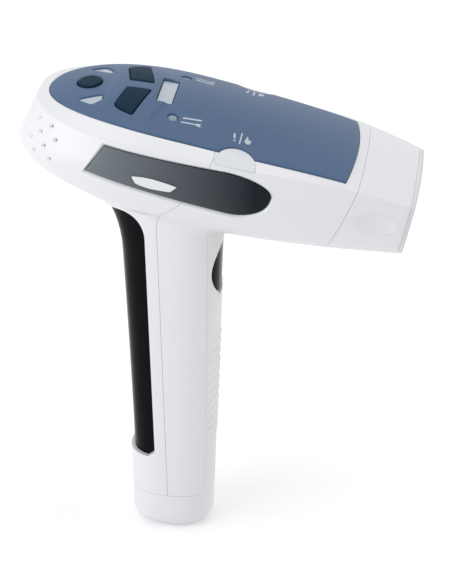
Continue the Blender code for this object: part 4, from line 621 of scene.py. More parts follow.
@dataclass(frozen=True)
class Skin:
    """Outer form of the head and the handle."""

    head_front: float = 0.0944
    head_rear: float = 0.0615
    head_half: float = 0.040
    overall_height: float = 0.1975
    pitch: float = math.radians(12.0)
    crown_top: float = 0.0211
    crown_u: float = 0.010
    crown_rear_fall: float = 0.0114
    crown_rear_power: float = 2.5
    crown_front_fall: float = 0.0071
    crown_rise_mid: float = 0.0053
    crown_rise_front: float = 0.0024
    crown_ease_u: float = 0.015
    nose_power: float = 2.1
    flank_nose_power: float = 2.42
    taper_power: float = 1.8
    bulge_w: float = 0.002
    bulge_tail_drop: float = 0.0105
    rim_w: float = 0.0125
    rim_climb: float = 0.058
    rim_bend: float = -0.20
    rim_least: float = 0.0004
    rim_step: float = 0.0036
    rim_front_step: float = 0.0030
    rim_tail: float = 0.0035
    bevel_run: float = 0.0041
    bevel_tail_run: float = 0.0027
    bevel_front_run: float = 0.0010
    belly_depth: float = 0.0235
    belly_front_depth: float = 0.0124
    belly_power: float = 1.6
    belly_tail: float = 0.019
    belly_tail_rise: float = 0.004
    belly_half: float = 0.014
    belly_front_half: float = 0.012
    front_taper: float = 0.0106
    front_bow: float = 0.0006
    bow_run: float = 0.014
    flank_power: float = 1.25
    tail_slimness: float = 0.4
    rim_inset: Flat = (0.88, 0.55)
    edge_inset: Flat = (0.4, 1.0)
    belly_inset: Flat = (0.3, -1.0)
    window_w: float = 0.0005
    handle_front: Flat = (0.0158, 0.0183)
    handle_rear: Flat = (0.0174, 0.0237)
    handle_rear_power: float = 1.3
    handle_half: Flat = (0.0140, 0.0170)
    handle_top_drop: float = 0.0428
    handle_power: float = 2.5
    neck_front_drop: float = 0.0308
    neck_rear_drop: float = 0.0475
    neck_front_u: float = 0.027
    blend_pull: float = 0.42
    base_fillet: float = 0.0065
    button_top: float = 0.0016
    crest_steps: int = 400

    @property
    def front_half(self) -> float:
        """Half-width of the head at its front."""
        return self.head_half - self.front_taper

    @property
    def front_flat(self) -> float:
        """Where the front face's corners lie along the head."""
        return self.head_front - self.front_bow

    @property
    def bulge(self) -> Level:
        """Outline where the flank is widest."""
        return Level(-self.head_rear, self.head_half, self.front_half, 1.0, 0.0, self.flank_nose_power)

    @property
    def rim(self) -> Level:
        """Outline of the crease above the flank."""
        tip, half = self.rim_tail - self.head_rear, self.head_half - self.rim_step
        return Level(tip, half, self.front_half - self.rim_front_step, *self.rim_inset, self.flank_nose_power)

    @property
    def edge(self) -> Level:
        """Outline of the top surface."""
        rim = self.rim
        tip, half = rim.tip + self.bevel_tail_run, rim.half_mid - self.bevel_run
        return Level(tip, half, rim.half_front - self.bevel_front_run, *self.edge_inset, self.nose_power)

    @property
    def belly(self) -> Level:
        """Outline of the underside."""
        tip = self.belly_tail - self.head_rear
        return Level(tip, self.belly_half, self.belly_front_half, *self.belly_inset, self.nose_power)

    @property
    def datum(self) -> float:
        """Height of the head's frame above the base."""
        places = np.linspace(self.edge.tip, self.head_front, self.crest_steps)
        crest = max(self.crown(u) * math.cos(self.pitch) - u * math.sin(self.pitch) for u in places)
        return self.overall_height - crest - self.button_top

    def crown(self, u: float) -> float:
        """Height of the head's crest line."""
        if u < self.crown_u:
            share = (self.crown_u - u) / (self.crown_u - self.edge.tip)
            return self.crown_top - self.crown_rear_fall * share**self.crown_rear_power
        share = (u - self.crown_u) / (self.head_front - self.crown_u)
        return self.crown_top - self.crown_front_fall * share**2

    def top(self, u: float, y: float) -> float:
        """Height of the crowned top surface."""
        share = ease(u, self.crown_ease_u, self.head_front)
        rise = self.crown_rise_mid + (self.crown_rise_front - self.crown_rise_mid) * share
        return self.crown(u) - rise * (y / self.edge.half_mid) ** 2

    def rim_height(self, u: float) -> float:
        """Height of the crease between the bevel and the flank, where the top's edge lies above it."""
        return self.rim_w + self.rim_climb * u + self.rim_bend * u * u

    def bulge_height(self, u: float) -> float:
        """Height at which the flank is widest."""
        return self.bulge_w - self.bulge_tail_drop * (max(-u, 0.0) / self.head_rear) ** 2

    def belly_height(self, u: float) -> float:
        """Height of the underside."""
        ahead, behind = max(u, 0.0) / self.head_front, max(-u, 0.0) / -self.belly.tip
        climb = (self.belly_depth - self.belly_front_depth) * ahead**self.belly_power
        return climb - self.belly_depth + self.belly_tail_rise * behind**2

    def place(self, u: float, y: float, w: float) -> Vector:
        """World place of a point in the head's frame."""
        cosine, sine = math.cos(self.pitch), math.sin(self.pitch)
        return Vector((u * cosine + w * sine, y, DATUM_Z - u * sine + w * cosine))

    def flat(self, u: float, w: float) -> Flat:
        """World x and z of a point in the head's side view."""
        spot = self.place(u, 0.0, w)
        return spot.x, spot.z

    def in_flank(self, a: float, b: float, c: float) -> Vector:
        """Outline in u and w, depth along y."""
        return self.place(a, c, b)

    def along_head(self, a: float, b: float, c: float) -> Vector:
        """Outline in y and w, depth along u."""
        return self.place(c, a, b)

    def bowed(self, u: float, y: float, w: float) -> Vector:
        """World place of a skin point, with the front face bowed forwards."""
        across = 1.0 - min(1.0, (y / self.front_half) ** 2)
        bow = self.front_bow * ease(u, self.head_front - self.bow_run, self.front_flat)
        return self.place(u + bow * across, y, w)

    def plan(self, level: Level, angle: float, share: float, inset: float) -> Vector:
        """Point of a plan outline, by its angle round the nose or its share of the side."""
        draw = inset * level.inset_in
        half = level.half_mid - draw
        if share == 0.0:
            power = 2.0 / level.power
            u = (level.tip + draw) * max(math.cos(angle), 0.0) ** power
            return Vector((u, half * math.sin(angle) ** power))
        taper = (half - level.half_front + draw) * share**self.taper_power
        return Vector(((self.front_flat - inset) * share, half - taper))

    def stations(self, facets: Facets) -> list[Flat]:
        """Angles round the nose, then shares along the side, from the rear tip to the front."""
        neck = self.neck_front_u / self.front_flat
        nose = [(math.pi / 2 * step / facets.nose, 0.0) for step in range(facets.nose + 1)]
        side = [neck * (step + 1) / facets.neck for step in range(facets.neck)]
        side += [neck + (1 - neck) * (step + 1) / facets.front for step in range(facets.front)]
        return nose + [(math.pi / 2, share) for share in side]

    def flank(self, angle: float, share: float, inset: float, facets: Facets) -> list[Vector]:
        """Points down one flank, from the edge of the top to the belly, in the head's frame."""
        levels = (self.edge, self.rim, self.bulge, self.belly)
        edge, rim, bulge, belly = (self.plan(level, angle, share, inset) for level in levels)
        edge_w = self.top(edge.x, edge.y) - inset
        rim_w = min(self.rim_height(rim.x) - inset * self.rim.inset_down, edge_w - self.rim_least)
        bulge_w = self.bulge_height(bulge.x)
        belly_w = self.belly_height(belly.x) + inset
        points = []
        for down in facets.bevel:
            points.append(Vector((*edge.lerp(rim, down), edge_w + (rim_w - edge_w) * down)))
        for down in facets.upper:
            out = 1 - (1 - down) ** self.flank_power
            points.append(Vector((*rim.lerp(bulge, out), rim_w + (bulge_w - rim_w) * down)))
        slimness = 1 + self.tail_slimness * math.cos(angle)
        for step in range(facets.lower + 1):
            turn = math.pi / 2 * step / facets.lower
            w = bulge_w + (belly_w - bulge_w) * math.sin(turn)
            points.append(Vector((*belly.lerp(bulge, max(math.cos(turn), 0.0) ** slimness), w)))
        return points

    def ring(self, angle: float, share: float, inset: float, facets: Facets) -> list[Vector]:
        """Closed ring of skin points at one station: over the top, down the left, back under."""
        flank = self.flank(angle, share, inset, facets)
        edge, belly = flank[0], flank[-1]
        ring = [(edge.x, edge.y * s, self.top(edge.x, edge.y * s) - inset) for s in facets.top]
        ring += flank[:-1]
        for step in range(facets.bottom):
            ring.append((belly.x, belly.y * (1 - 2 * step / facets.bottom), belly.z))
        ring += [(p.x, -p.y, p.z) for p in reversed(flank[1:])]
        return [self.bowed(*point) for point in ring]

    def handle(self, turn: float, z: float, inset: float) -> Vector:
        """Point of the handle's section at a height, at a turn from the front."""
        rise = max(z, 0.0) / (DATUM_Z - self.handle_top_drop)
        front = self.handle_front[0] + (self.handle_front[1] - self.handle_front[0]) * rise - inset
        swell = (self.handle_rear[1] - self.handle_rear[0]) * rise**self.handle_rear_power
        rear = inset - self.handle_rear[0] - swell
        half = self.handle_half[0] + (self.handle_half[1] - self.handle_half[0]) * rise - inset
        power = 2.0 / self.handle_power
        cosine, sine = math.cos(turn), math.sin(turn)
        x = (front + rear) / 2 + (front - rear) / 2 * math.copysign(abs(cosine) ** power, cosine)
        return Vector((x, half * math.copysign(abs(sine) ** power, sine), z))

    def neck_height(self, turn: float) -> float:
        """Height where the handle starts to flare into the head."""
        front, rear = DATUM_Z - self.neck_front_drop, DATUM_Z - self.neck_rear_drop
        return (front + rear) / 2 + (front - rear) / 2 * math.cos(turn)

    @staticmethod
    def neck_loop(facets: Facets) -> list[tuple[int, int]]:
        """Row and column pairs round the neck's hole in the underside."""
        count = len(facets.top) + facets.flank
        left, right = count - facets.neck_wall, count + facets.bottom + facets.neck_wall
        rear, front = facets.neck_rear, facets.nose + facets.neck
        loop = [(front, column) for column in range(left, right)]
        loop += [(row, right) for row in range(front, rear, -1)]
        loop += [(rear, column) for column in range(right, left, -1)]
        return loop + [(row, left) for row in range(rear, front)]

    def column(self, spot: Vector, along: Vector, turn: float, inset: float, facets: Facets) -> list[Vector]:
        """Points from one place on the neck's hole down to the handle and round its base.

        Args:
            spot: The place on the hole's edge.
            along: The skin's normal there.
            turn: Where round the handle the column comes down.
            inset: How far the skin is drawn in.
            facets: How finely it is divided.

        Returns:
            The points below the hole's edge.
        """
        top = self.neck_height(turn)
        foot = self.handle(turn, top, inset)
        rise = (foot - self.handle(turn, top - GAP, inset)).normalized()
        way = foot - spot
        run = (way - along * way.dot(along)).normalized()
        pull = way.length * self.blend_pull
        points = []
        for step in range(1, facets.blend + 1):
            t = step / facets.blend
            a, b, c, d = (1 - t) ** 3, 3 * t * (1 - t) ** 2, 3 * t * t * (1 - t), t**3
            points.append(spot * a + (spot + run * pull) * b + (foot + rise * pull) * c + foot * d)
        base = inset + self.base_fillet
        for step in range(1, facets.handle + 1):
            points.append(self.handle(turn, top + (base - top) * step / facets.handle, inset))
        for step in range(1, facets.fillet + 1):
            bend = math.pi / 2 * step / facets.fillet
            z = inset + self.base_fillet * (1 - math.sin(bend))
            points.append(self.handle(turn, z, inset + self.base_fillet * (1 - math.cos(bend))))
        return points

    def flare(self, bm: bmesh.types.BMesh, rings: list, verts: list, inset: float, facets: Facets) -> None:
        """Add the neck and the handle under the head's open underside."""
        pairs = self.neck_loop(facets)
        spots = [rings[row][column] for row, column in pairs]
        low_x, high_x = min(p.x for p in spots), max(p.x for p in spots)
        high_y = max(p.y for p in spots)
        columns = []
        for (row, place), spot in zip(pairs, spots):
            reach = (spot.x - (low_x + high_x) / 2) / ((high_x - low_x) / 2)
            turn = math.atan2(spot.y / high_y, reach)
            along = rings[row + 1][place] - rings[row - 1][place]
            across = rings[row][place + 1] - rings[row][place - 1]
            points = self.column(spot, along.cross(across).normalized(), turn, inset, facets)
            columns.append([verts[row][place]] + [bm.verts.new(point) for point in points])
        for index, column in enumerate(columns):
            follow = columns[(index + 1) % len(columns)]
            for step in range(len(column) - 1):
                bm.faces.new((column[step], follow[step], follow[step + 1], column[step + 1]))
        bm.faces.new([column[-1] for column in columns])

    def body(self, inset: float, facets: Facets = FINE) -> bpy.types.Object:
        """The whole outer form, head and handle in one closed skin.

        Args:
            inset: How far it is drawn in.
            facets: How finely it is divided.

        Returns:
            The solid.
        """
        rings = [self.ring(angle, share, inset, facets) for angle, share in self.stations(facets)]
        count, across = len(rings[0]), len(facets.top)
        bm = bmesh.new()
        tip = [bm.verts.new(self.bowed(*point)) for point in self.flank(0.0, 0.0, inset, facets)]
        first = [tip[0]] * across + tip[:-1] + [tip[-1]] * facets.bottom + tip[:0:-1]
        verts = [first] + [[bm.verts.new(point) for point in ring] for ring in rings[1:]]
        left = across + facets.flank - facets.neck_wall
        right = across + facets.flank + facets.bottom + facets.neck_wall
        for row in range(len(rings) - 1):
            in_neck = facets.neck_rear <= row < facets.nose + facets.neck
            for column in range(count):
                if in_neck and left <= column < right:
                    continue
                after = (column + 1) % count
                here, ahead = verts[row], verts[row + 1]
                corners = list(dict.fromkeys((here[column], here[after], ahead[after], ahead[column])))
                if len(corners) > 2:
                    bm.faces.new(corners)
        nose = bm.verts.new(self.bowed(self.front_flat - inset, 0.0, self.window_w))
        for column in range(count):
            bm.faces.new((verts[-1][column], verts[-1][(column + 1) % count], nose))
        self.flare(bm, rings, verts, inset, facets)
        bmesh.ops.triangulate(bm, faces=bm.faces)
        return make_object("body", bm)


# Height of the head's frame, worked out once because every place on the head needs it
DATUM_Z = Skin().datum


class SkinNormals:
    """Smooth normals of the uncut skin, lent to the pieces that are cut from it."""

    agree: float = 0.75
    sharp: float = math.radians(30.0)

    def __init__(self, source: bpy.types.Object) -> None:
        """Read an uncut skin, which is removed here."""
        mesh = source.data
        self.places = [vert.co.copy() for vert in mesh.vertices]
        self.normals = [normal.vector.copy() for normal in mesh.vertex_normals]
        self.corners = [tuple(face.vertices) for face in mesh.polygons]
        self.tree = BVHTree.FromPolygons(self.places, self.corners)
        bpy.data.objects.remove(source)

    def at(self, place: Vector) -> tuple[Vector, float]:
        """The skin's normal nearest a place, and how far off it is."""
        spot, _, index, distance = self.tree.find_nearest(place)
        corners = self.corners[index]
        spots = [self.places[corner] for corner in corners]
        normals = [self.normals[corner] for corner in corners]
        return barycentric_transform(spot, *spots, *normals).normalized(), distance

    def hit(self, start: Vector, way: Vector) -> Vector:
        """Where a ray meets the skin."""
        return self.tree.ray_cast(start, way)[0]

    def lend(self, item: bpy.types.Object, reach: float = GAP) -> bpy.types.Object:
        """Shade a piece with the skin's normals wherever it follows the skin.

        Args:
            item: The piece.
            reach: How far from the skin that still is.

        Returns:
            The same piece.
        """
        mesh = item.data
        mesh.shade_smooth()
        mesh.set_sharp_from_angle(angle=self.sharp)
        count = len(mesh.loops)
        corner = np.zeros(count * 3, np.float32)
        mesh.corner_normals.foreach_get("vector", corner)
        corner = corner.reshape(-1, 3)
        vertex = np.zeros(count, np.int32)
        mesh.loops.foreach_get("vertex_index", vertex)
        face = np.zeros(len(mesh.polygons) * 3, np.float32)
        mesh.polygons.foreach_get("normal", face)
        total = np.zeros(len(mesh.polygons), np.int32)
        mesh.polygons.foreach_get("loop_total", total)
        face = np.repeat(face.reshape(-1, 3), total, axis=0)
        found = [self.at(vert.co) for vert in mesh.vertices]
        skin = np.array([normal for normal, _ in found], np.float32)[vertex]
        near = np.array([distance for _, distance in found])[vertex] < reach
        follows = near & ((skin * face).sum(1) > self.agree)
        corner[follows] = skin[follows]
        mesh.normals_split_custom_set(corner.tolist())
        return item


@dataclass
class Plate:
    """Plate that follows a height over the head's plan, with rounded edges."""

    skin: Skin
    name: str
    outline: list[Flat]
    top: Callable[[float, float], float]
    thickness: float
    edge: float
    holes: list[list[Flat]] = field(default_factory=list)
    ridges: list[list[Flat]] = field(default_factory=list)
    step: float = 0.0011
    turns: int = 4
    grid_pitch: float = 1.5
    sharp: float = math.radians(38.0)

    def build(self) -> bpy.types.Object:
        """Make the closed plate, smooth over its rounded edges."""
        loops = [turned_left(resampled(self.outline, self.step))]
        loops += [turned_left(resampled(hole, self.step)) for hole in self.holes]
        signs = [1.0] + [-1.0] * len(self.holes)
        inner = [drawn_in(loop, self.edge * sign) for loop, sign in zip(loops, signs)]
        spots, faces, order = self._filled(inner)
        bm = bmesh.new()
        roof = [bm.verts.new(self.skin.place(u, y, self.top(u, y))) for u, y in spots]
        floor = [bm.verts.new(self.skin.place(u, y, self.top(u, y) - self.thickness)) for u, y in spots]
        for corners in faces:
            bm.faces.new([roof[index] for index in corners])
            bm.faces.new([floor[index] for index in reversed(corners)])
        for loop, sign, places in zip(loops, signs, order):
            self._wall(bm, loop, sign, [roof[i] for i in places], [floor[i] for i in places])
        stray = [vert for vert in bm.verts if not vert.link_faces]
        bmesh.ops.delete(bm, geom=stray, context="VERTS")
        item = make_object(self.name, bm)
        item.data.shade_smooth()
        item.data.set_sharp_from_angle(angle=self.sharp)
        return item

    def _filled(self, inner: list[list[Flat]]) -> tuple[list[Flat], list, list[list[int]]]:
        """Triangles between the loops: their points, corners, and each loop's own points."""
        flat = [point for loop in inner for point in loop]
        edges, order, start = [], [], 0
        for loop in inner:
            count = len(loop)
            edges += [(start + index, start + (index + 1) % count) for index in range(count)]
            order.append(list(range(start, start + count)))
            start += count
        for ridge in self.ridges:
            edges += [(start + index, start + index + 1) for index in range(len(ridge) - 1)]
            flat += ridge
            start += len(ridge)
        flat += self._grid(inner)
        coords = [Vector(point) for point in flat]
        verts, _, faces, origins, _, _ = delaunay_2d_cdt(coords, edges, [], 0, MERGE / 10)
        where = {origin: index for index, group in enumerate(origins) for origin in group}
        spots = np.array([tuple(vert) for vert in verts])
        middles = np.array([spots[list(face)].mean(0) for face in faces])
        keep = inside(middles, inner[0])
        for hole in inner[1:]:
            keep &= ~inside(middles, hole)
        kept = [face for face, wanted in zip(faces, keep) if wanted]
        places = [[where[index] for index in loop] for loop in order]
        return [tuple(spot) for spot in spots], kept, places

    def _grid(self, inner: list[list[Flat]]) -> list[Flat]:
        """Points spread inside the plate, clear of its edges."""
        low, high = np.min(inner[0], axis=0), np.max(inner[0], axis=0)
        pitch = self.step * self.grid_pitch
        axes = [np.arange(low[axis] + pitch / 2, high[axis], pitch) for axis in (0, 1)]
        grid = np.stack(np.meshgrid(*axes), -1).reshape(-1, 2)
        keep = inside(grid, drawn_in(inner[0], pitch / 3))
        for hole in inner[1:]:
            keep &= ~inside(grid, drawn_in(hole, -pitch / 3))
        return [tuple(point) for point in grid[keep]]

    def _wall(self, bm: bmesh.types.BMesh, loop: list[Flat], sign: float, roof: list, floor: list) -> None:
        """Rounded edge and side wall between the roof's and the floor's loops."""
        rows = [roof]
        for turn in range(self.turns - 1, -1, -1):
            bend = math.pi / 2 * turn / self.turns
            inset = self.edge * (1 - math.cos(bend)) * sign
            drop = self.edge * (1 - math.sin(bend))
            points = drawn_in(loop, inset)
            rows.append([bm.verts.new(self.skin.place(u, y, self.top(u, y) - drop)) for u, y in points])
        rows.append([bm.verts.new(self.skin.place(u, y, self.top(u, y) - self.thickness)) for u, y in loop])
        rows.append(floor)
        bridge(bm, rows)


class Repeat:
    """Geometry Nodes tree that sets one shape on many points."""

    def __init__(self, name: str, on_line: bool) -> None:
        """Build the tree.

        Args:
            name: The tree's name.
            on_line: True for a straight row made in the tree, False for the host's own points, each
                turned to its "out" attribute.
        """
        self.tree = bpy.data.node_groups.new(name, "GeometryNodeTree")
        self.keys: dict[str, str] = {}
        self._input("Host", "NodeSocketGeometry")
        self._input("Shape", "NodeSocketObject")
        self._input("Finish", "NodeSocketMaterial")
        if on_line:
            self._input("Count", "NodeSocketInt")
            self._input("Start", "NodeSocketVector")
            self._input("Step", "NodeSocketVector")
        self._input("Scale", "NodeSocketFloat")
        self.tree.interface.new_socket("Made", in_out="OUTPUT", socket_type="NodeSocketGeometry")
        self.source = self.tree.nodes.new("NodeGroupInput")
        points = self._line() if on_line else self._host_points()
        self._finish(points, None if on_line else self._facing())

    def _input(self, name: str, kind: str) -> None:
        """Add a named input."""
        self.keys[name] = self.tree.interface.new_socket(name, in_out="INPUT", socket_type=kind).identifier

    def _node(self, kind: str, **settings: str) -> bpy.types.Node:
        """Add a node with its settings."""
        made = self.tree.nodes.new(kind)
        for name, value in settings.items():
            setattr(made, name, value)
        return made

    def _line(self) -> bpy.types.NodeSocket:
        """Points in a straight row."""
        row = self._node("GeometryNodeMeshLine", mode="OFFSET")
        for name, socket in (("Count", "Count"), ("Start", "Start Location"), ("Step", "Offset")):
            self.tree.links.new(self.source.outputs[name], row.inputs[socket])
        return row.outputs["Mesh"]

    def _host_points(self) -> bpy.types.NodeSocket:
        """The host's own points."""
        points = self._node("GeometryNodeMeshToPoints")
        self.tree.links.new(self.source.outputs["Host"], points.inputs["Mesh"])
        return points.outputs["Points"]

    def _facing(self) -> bpy.types.NodeSocket:
        """Rotation that turns a shape's z to the point's out attribute."""
        out = self._node("GeometryNodeInputNamedAttribute", data_type="FLOAT_VECTOR")
        out.inputs["Name"].default_value = "out"
        align = self._node("FunctionNodeAlignRotationToVector", axis="Z")
        self.tree.links.new(out.outputs["Attribute"], align.inputs["Vector"])
        return align.outputs["Rotation"]

    def _finish(self, points: bpy.types.NodeSocket, turn: Union[bpy.types.NodeSocket, None]) -> None:
        """Set the shapes on the points, make them real and give them their material."""
        link = self.tree.links.new
        shape = self._node("GeometryNodeObjectInfo", transform_space="ORIGINAL")
        link(self.source.outputs["Shape"], shape.inputs["Object"])
        spread = self._node("GeometryNodeInstanceOnPoints")
        link(points, spread.inputs["Points"])
        link(shape.outputs["Geometry"], spread.inputs["Instance"])
        link(self.source.outputs["Scale"], spread.inputs["Scale"])
        if turn:
            link(turn, spread.inputs["Rotation"])
        real = self._node("GeometryNodeRealizeInstances")
        link(spread.outputs["Instances"], real.inputs["Geometry"])
        dress = self._node("GeometryNodeSetMaterial")
        link(real.outputs["Geometry"], dress.inputs["Geometry"])
        link(self.source.outputs["Finish"], dress.inputs["Material"])
        link(dress.outputs["Geometry"], self._node("NodeGroupOutput").inputs["Made"])

    def build(self, name: str, host: bpy.types.Mesh, values: dict) -> bpy.types.Object:
        """Run the tree and keep its result as a plain mesh.

        Args:
            name: The object's name.
            host: Mesh that carries the points, or an empty one for a row.
            values: The tree's inputs by name. The shape's object is removed.

        Returns:
            The object.
        """
        item = bpy.data.objects.new(name, host)
        bpy.context.scene.collection.objects.link(item)
        modifier = item.modifiers.new(name, "NODES")
        modifier.node_group = self.tree
        for key, value in values.items():
            modifier[self.keys[key]] = value
        view = bpy.context.view_layer
        view.update()
        mesh = bpy.data.meshes.new_from_object(item.evaluated_get(view.depsgraph))
        item.modifiers.clear()
        item.data = mesh
        bpy.data.objects.remove(values["Shape"])
        return item


def place_piece(
    item: bpy.types.Object, name: str, finish: Finish, body: str, *nodes: str
) -> bpy.types.Object:
    """Name, paint and hang a finished piece.

    Args:
        item: The piece.
        name: Its name.
        finish: Its finish.
        body: The body that it rides on.
        nodes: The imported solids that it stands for.

    Returns:
        The piece.
    """
    item.name = item.data.name = name
    item.data.materials.clear()
    item.data.materials.append(finish.material())
    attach(item, body)
    if nodes:
        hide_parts(*nodes)
    LOG.info("%s: %d faces on %s", name, len(item.data.polygons), body)
    return item


# Outlines of the right-hand pictograms in the head's plan
MARKS: dict[str, list[Flat]] = {
    "plain_bar": [(-0.0003, -0.0184), (0.0069, -0.0173), (0.0071, -0.0163), (-0.0001, -0.0174)],
    "spanner": [
        (-0.0006, -0.0210),
        (0.0050, -0.0204),
        (0.0060, -0.0210),
        (0.0076, -0.0208),
        (0.0066, -0.0201),
        (0.0074, -0.0192),
        (0.0058, -0.0192),
        (0.0050, -0.0197),
        (-0.0005, -0.0202),
    ],
    "alert_bar": [(0.0203, -0.0218), (0.0211, -0.0218), (0.0208, -0.0190), (0.0199, -0.0190)],
    "alert_dot": ellipse(0.0209, -0.0230, 0.00048, 0.00048, 12),
    "divider": rounded(rectangle(0.0228, 0.0234, -0.0242, -0.0175), 0.0002),
    "flame": [
        (0.0247, -0.0222),
        (0.0257, -0.0234),
        (0.0268, -0.0231),
        (0.0273, -0.0217),
        (0.0269, -0.0203),
        (0.0264, -0.0211),
        (0.0254, -0.0186),
        (0.0250, -0.0204),
    ],
}


@dataclass
class ControlPanel:
    """Blue panel on the head's top, with its buttons, lenses and pictograms."""

    skin: Skin
    normals: SkinNormals
    cartridge_seam_u: float
    margin: float = 0.0011
    front_run: float = 0.0003
    front_bow: float = 0.0022
    thickness: float = 0.0013
    proud: float = 0.0007
    edge: float = 0.0005
    button_proud: float = 0.0007
    button_depth: float = 0.0044
    lens_recess: float = 0.0006
    power_u: float = 0.0222
    power_half: Flat = (0.0045, 0.0054)
    level_u: Flat = (0.0373, 0.0463)
    level_y: Flat = (0.0032, 0.0226)
    level_sweep: Flat = (0.0025, 0.0042)
    level_slant: float = 0.0034
    level_corner: float = 0.0015
    corner_radius: float = 0.0006
    indicator_corner: float = 0.0008
    button_edge: float = 0.0006
    button_step: float = 0.0008
    lens_edge: float = 0.0002
    lens_step: float = 0.0006
    indicator_u: Flat = (0.0198, 0.0292)
    indicator_y: Spot = (0.0100, 0.0142, 0.0172)
    window_u: Flat = (0.0495, 0.0555)
    window_half: float = 0.0100
    led_u: float = 0.0575
    led_y: float = 0.0185
    led_radius: float = 0.0018
    led_sides: int = 24
    status_u: float = 0.0236
    status_y: float = 0.0345
    status_radius: float = 0.0078
    status_low_w: float = 0.0138
    status_fit: float = 0.0001
    status_thickness: float = 0.0015
    status_proud: float = 0.0002
    status_steps: int = 24
    notch_step: float = 0.0004
    front_steps: int = 12
    pad_rise: float = 0.0005
    pad_slope: float = 0.0007
    pad_rear: float = -0.0312
    pad_front: Flat = (-0.0050, -0.0120)
    pad_half: float = 0.0242
    pad_cut: float = 0.004
    pad_step: float = 0.0008
    pad_clear: float = 0.0112
    mark_proud: float = 0.00006
    mark_depth: float = 0.00025
    mark_edge: float = 0.00005
    mark_step: float = 0.0005

    def from_rear(self, distance: float) -> float:
        """Place along the head of a distance from its rear end."""
        return distance - self.skin.head_rear

    def outline(self, draw: float, steps: int = 48) -> list[Flat]:
        """Bullet outline of the panel, drawn in by a distance."""
        edge = self.skin.edge
        inset = self.margin + draw
        half, tip = edge.half_mid - inset, edge.tip + inset
        front = self.cartridge_seam_u + self.front_run - draw
        power = 2.0 / self.skin.nose_power
        side = []
        for step in range(steps + 1):
            angle = math.pi / 2 * step / steps
            side.append((tip * max(math.cos(angle), 0.0) ** power, half * math.sin(angle) ** power))
        for step in range(1, steps + 1):
            u = (front - self.front_bow) * step / steps
            taper = (edge.half_mid - edge.half_front) * (u / self.skin.front_flat) ** self.skin.taper_power
            side.append((u, half - taper))
        end = side[-1][1]
        for step in range(1, self.front_steps):
            y = end * (1 - step / self.front_steps)
            side.append((front - self.front_bow * (y / end) ** 2, y))
        return side + [(front, 0.0)] + [(u, -y) for u, y in reversed(side[1:])]

    def notched(self) -> list[Flat]:
        """The panel's outline with the half-round notches for the folded lenses."""
        points = []
        reach = self.status_radius + GAP
        for u, y in resampled(self.outline(GAP), self.notch_step):
            centre = Vector((self.status_u, math.copysign(self.status_y, y)))
            spoke = Vector((u, y)) - centre
            if spoke.length < reach:
                spoke = Vector((spoke.x, -math.copysign(math.sqrt(reach**2 - spoke.x**2), y)))
            points.append(tuple(centre + spoke))
        return points

    def power_outline(self, grow: float) -> list[Flat]:
        """Outline of the power button."""
        half_u, half_y = (half + grow for half in self.power_half)
        return ellipse(self.from_rear(self.power_u), 0.0, half_u, half_y)

    def level_outline(self, grow: float) -> list[Flat]:
        """Swept outline of the left level button."""
        rear, front = self.from_rear(self.level_u[0]) - grow, self.from_rear(self.level_u[1]) + grow
        inner, outer = self.level_y[0] - grow, self.level_y[1] + grow
        rear_end, low, corner = rear - self.level_sweep[0], outer - self.level_slant, self.level_corner
        corners = [
            (rear, inner),
            (front, inner),
            (front - self.level_sweep[1], outer),
            (rear_end + 2 * corner, low + self.level_slant / 3),
            (rear_end + corner / 2, low - corner / 2),
            (rear_end, low - 2 * corner),
        ]
        return rounded(corners, self.corner_radius + grow)

    def indicator_outline(self, grow: float) -> list[Flat]:
        """Triangular outline of the left indicator lens."""
        tip, front = self.from_rear(self.indicator_u[0]), self.from_rear(self.indicator_u[1])
        inner, middle, outer = self.indicator_y
        corners = [
            (tip - grow, middle),
            (front + grow, inner - grow),
            (front + grow, (inner + outer) / 2),
            ((front * 2 + tip) / 3, outer + grow),
        ]
        return rounded(corners, self.indicator_corner + grow)

    def window_outline(self, grow: float) -> list[Flat]:
        """Outline of the level window."""
        half = self.window_half + grow
        rear, front = self.from_rear(self.window_u[0]) - grow, self.from_rear(self.window_u[1]) + grow
        return rounded(rectangle(rear, front, -half, half), self.corner_radius + grow)

    def led_outline(self, grow: float) -> list[Flat]:
        """Outline of the left LED lens."""
        radius = self.led_radius + grow
        return ellipse(self.from_rear(self.led_u), self.led_y, radius, radius, self.led_sides)

    def status_outline(self, grow: float) -> list[Flat]:
        """Half-round outline of the left folded lens, run out over the rim."""
        radius, out = self.status_radius + grow, self.skin.head_half
        points = [(self.status_u + radius, out), (self.status_u - radius, out)]
        for step in range(self.status_steps + 1):
            turn = math.pi * step / self.status_steps
            points.append((self.status_u - radius * math.cos(turn), self.status_y - radius * math.sin(turn)))
        return points

    def pad_outline(self) -> list[Flat]:
        """Outline of the raised pad under the level buttons, swept back at its sides."""
        middle, corner = self.pad_front
        half = [(self.pad_rear, 0.0), (self.pad_rear, self.pad_half - self.pad_cut)]
        half += [(self.pad_rear + self.pad_cut, self.pad_half), (corner, self.pad_half), (middle, 0.0)]
        return turned_left(resampled(half + mirrored(half[1:-1]), self.pad_step))

    def pad_ridges(self) -> list[list[Flat]]:
        """Foot and brow of the pad's edge where it runs clear of the openings."""
        ridges = []
        for loop in (self.pad_outline(), drawn_in(self.pad_outline(), self.pad_slope)):
            for side in Side:
                ridges.append([point for point in loop if point[1] * side.value > self.pad_clear])
        return ridges

    def field_top(self) -> Callable[[float, float], float]:
        """Height of the panel's top with its raised pad, as a function of u and y."""
        loop = np.array(self.pad_outline())
        outline = [tuple(point) for point in loop]
        ahead = np.roll(loop, -1, axis=0) - loop
        square = (ahead**2).sum(1)

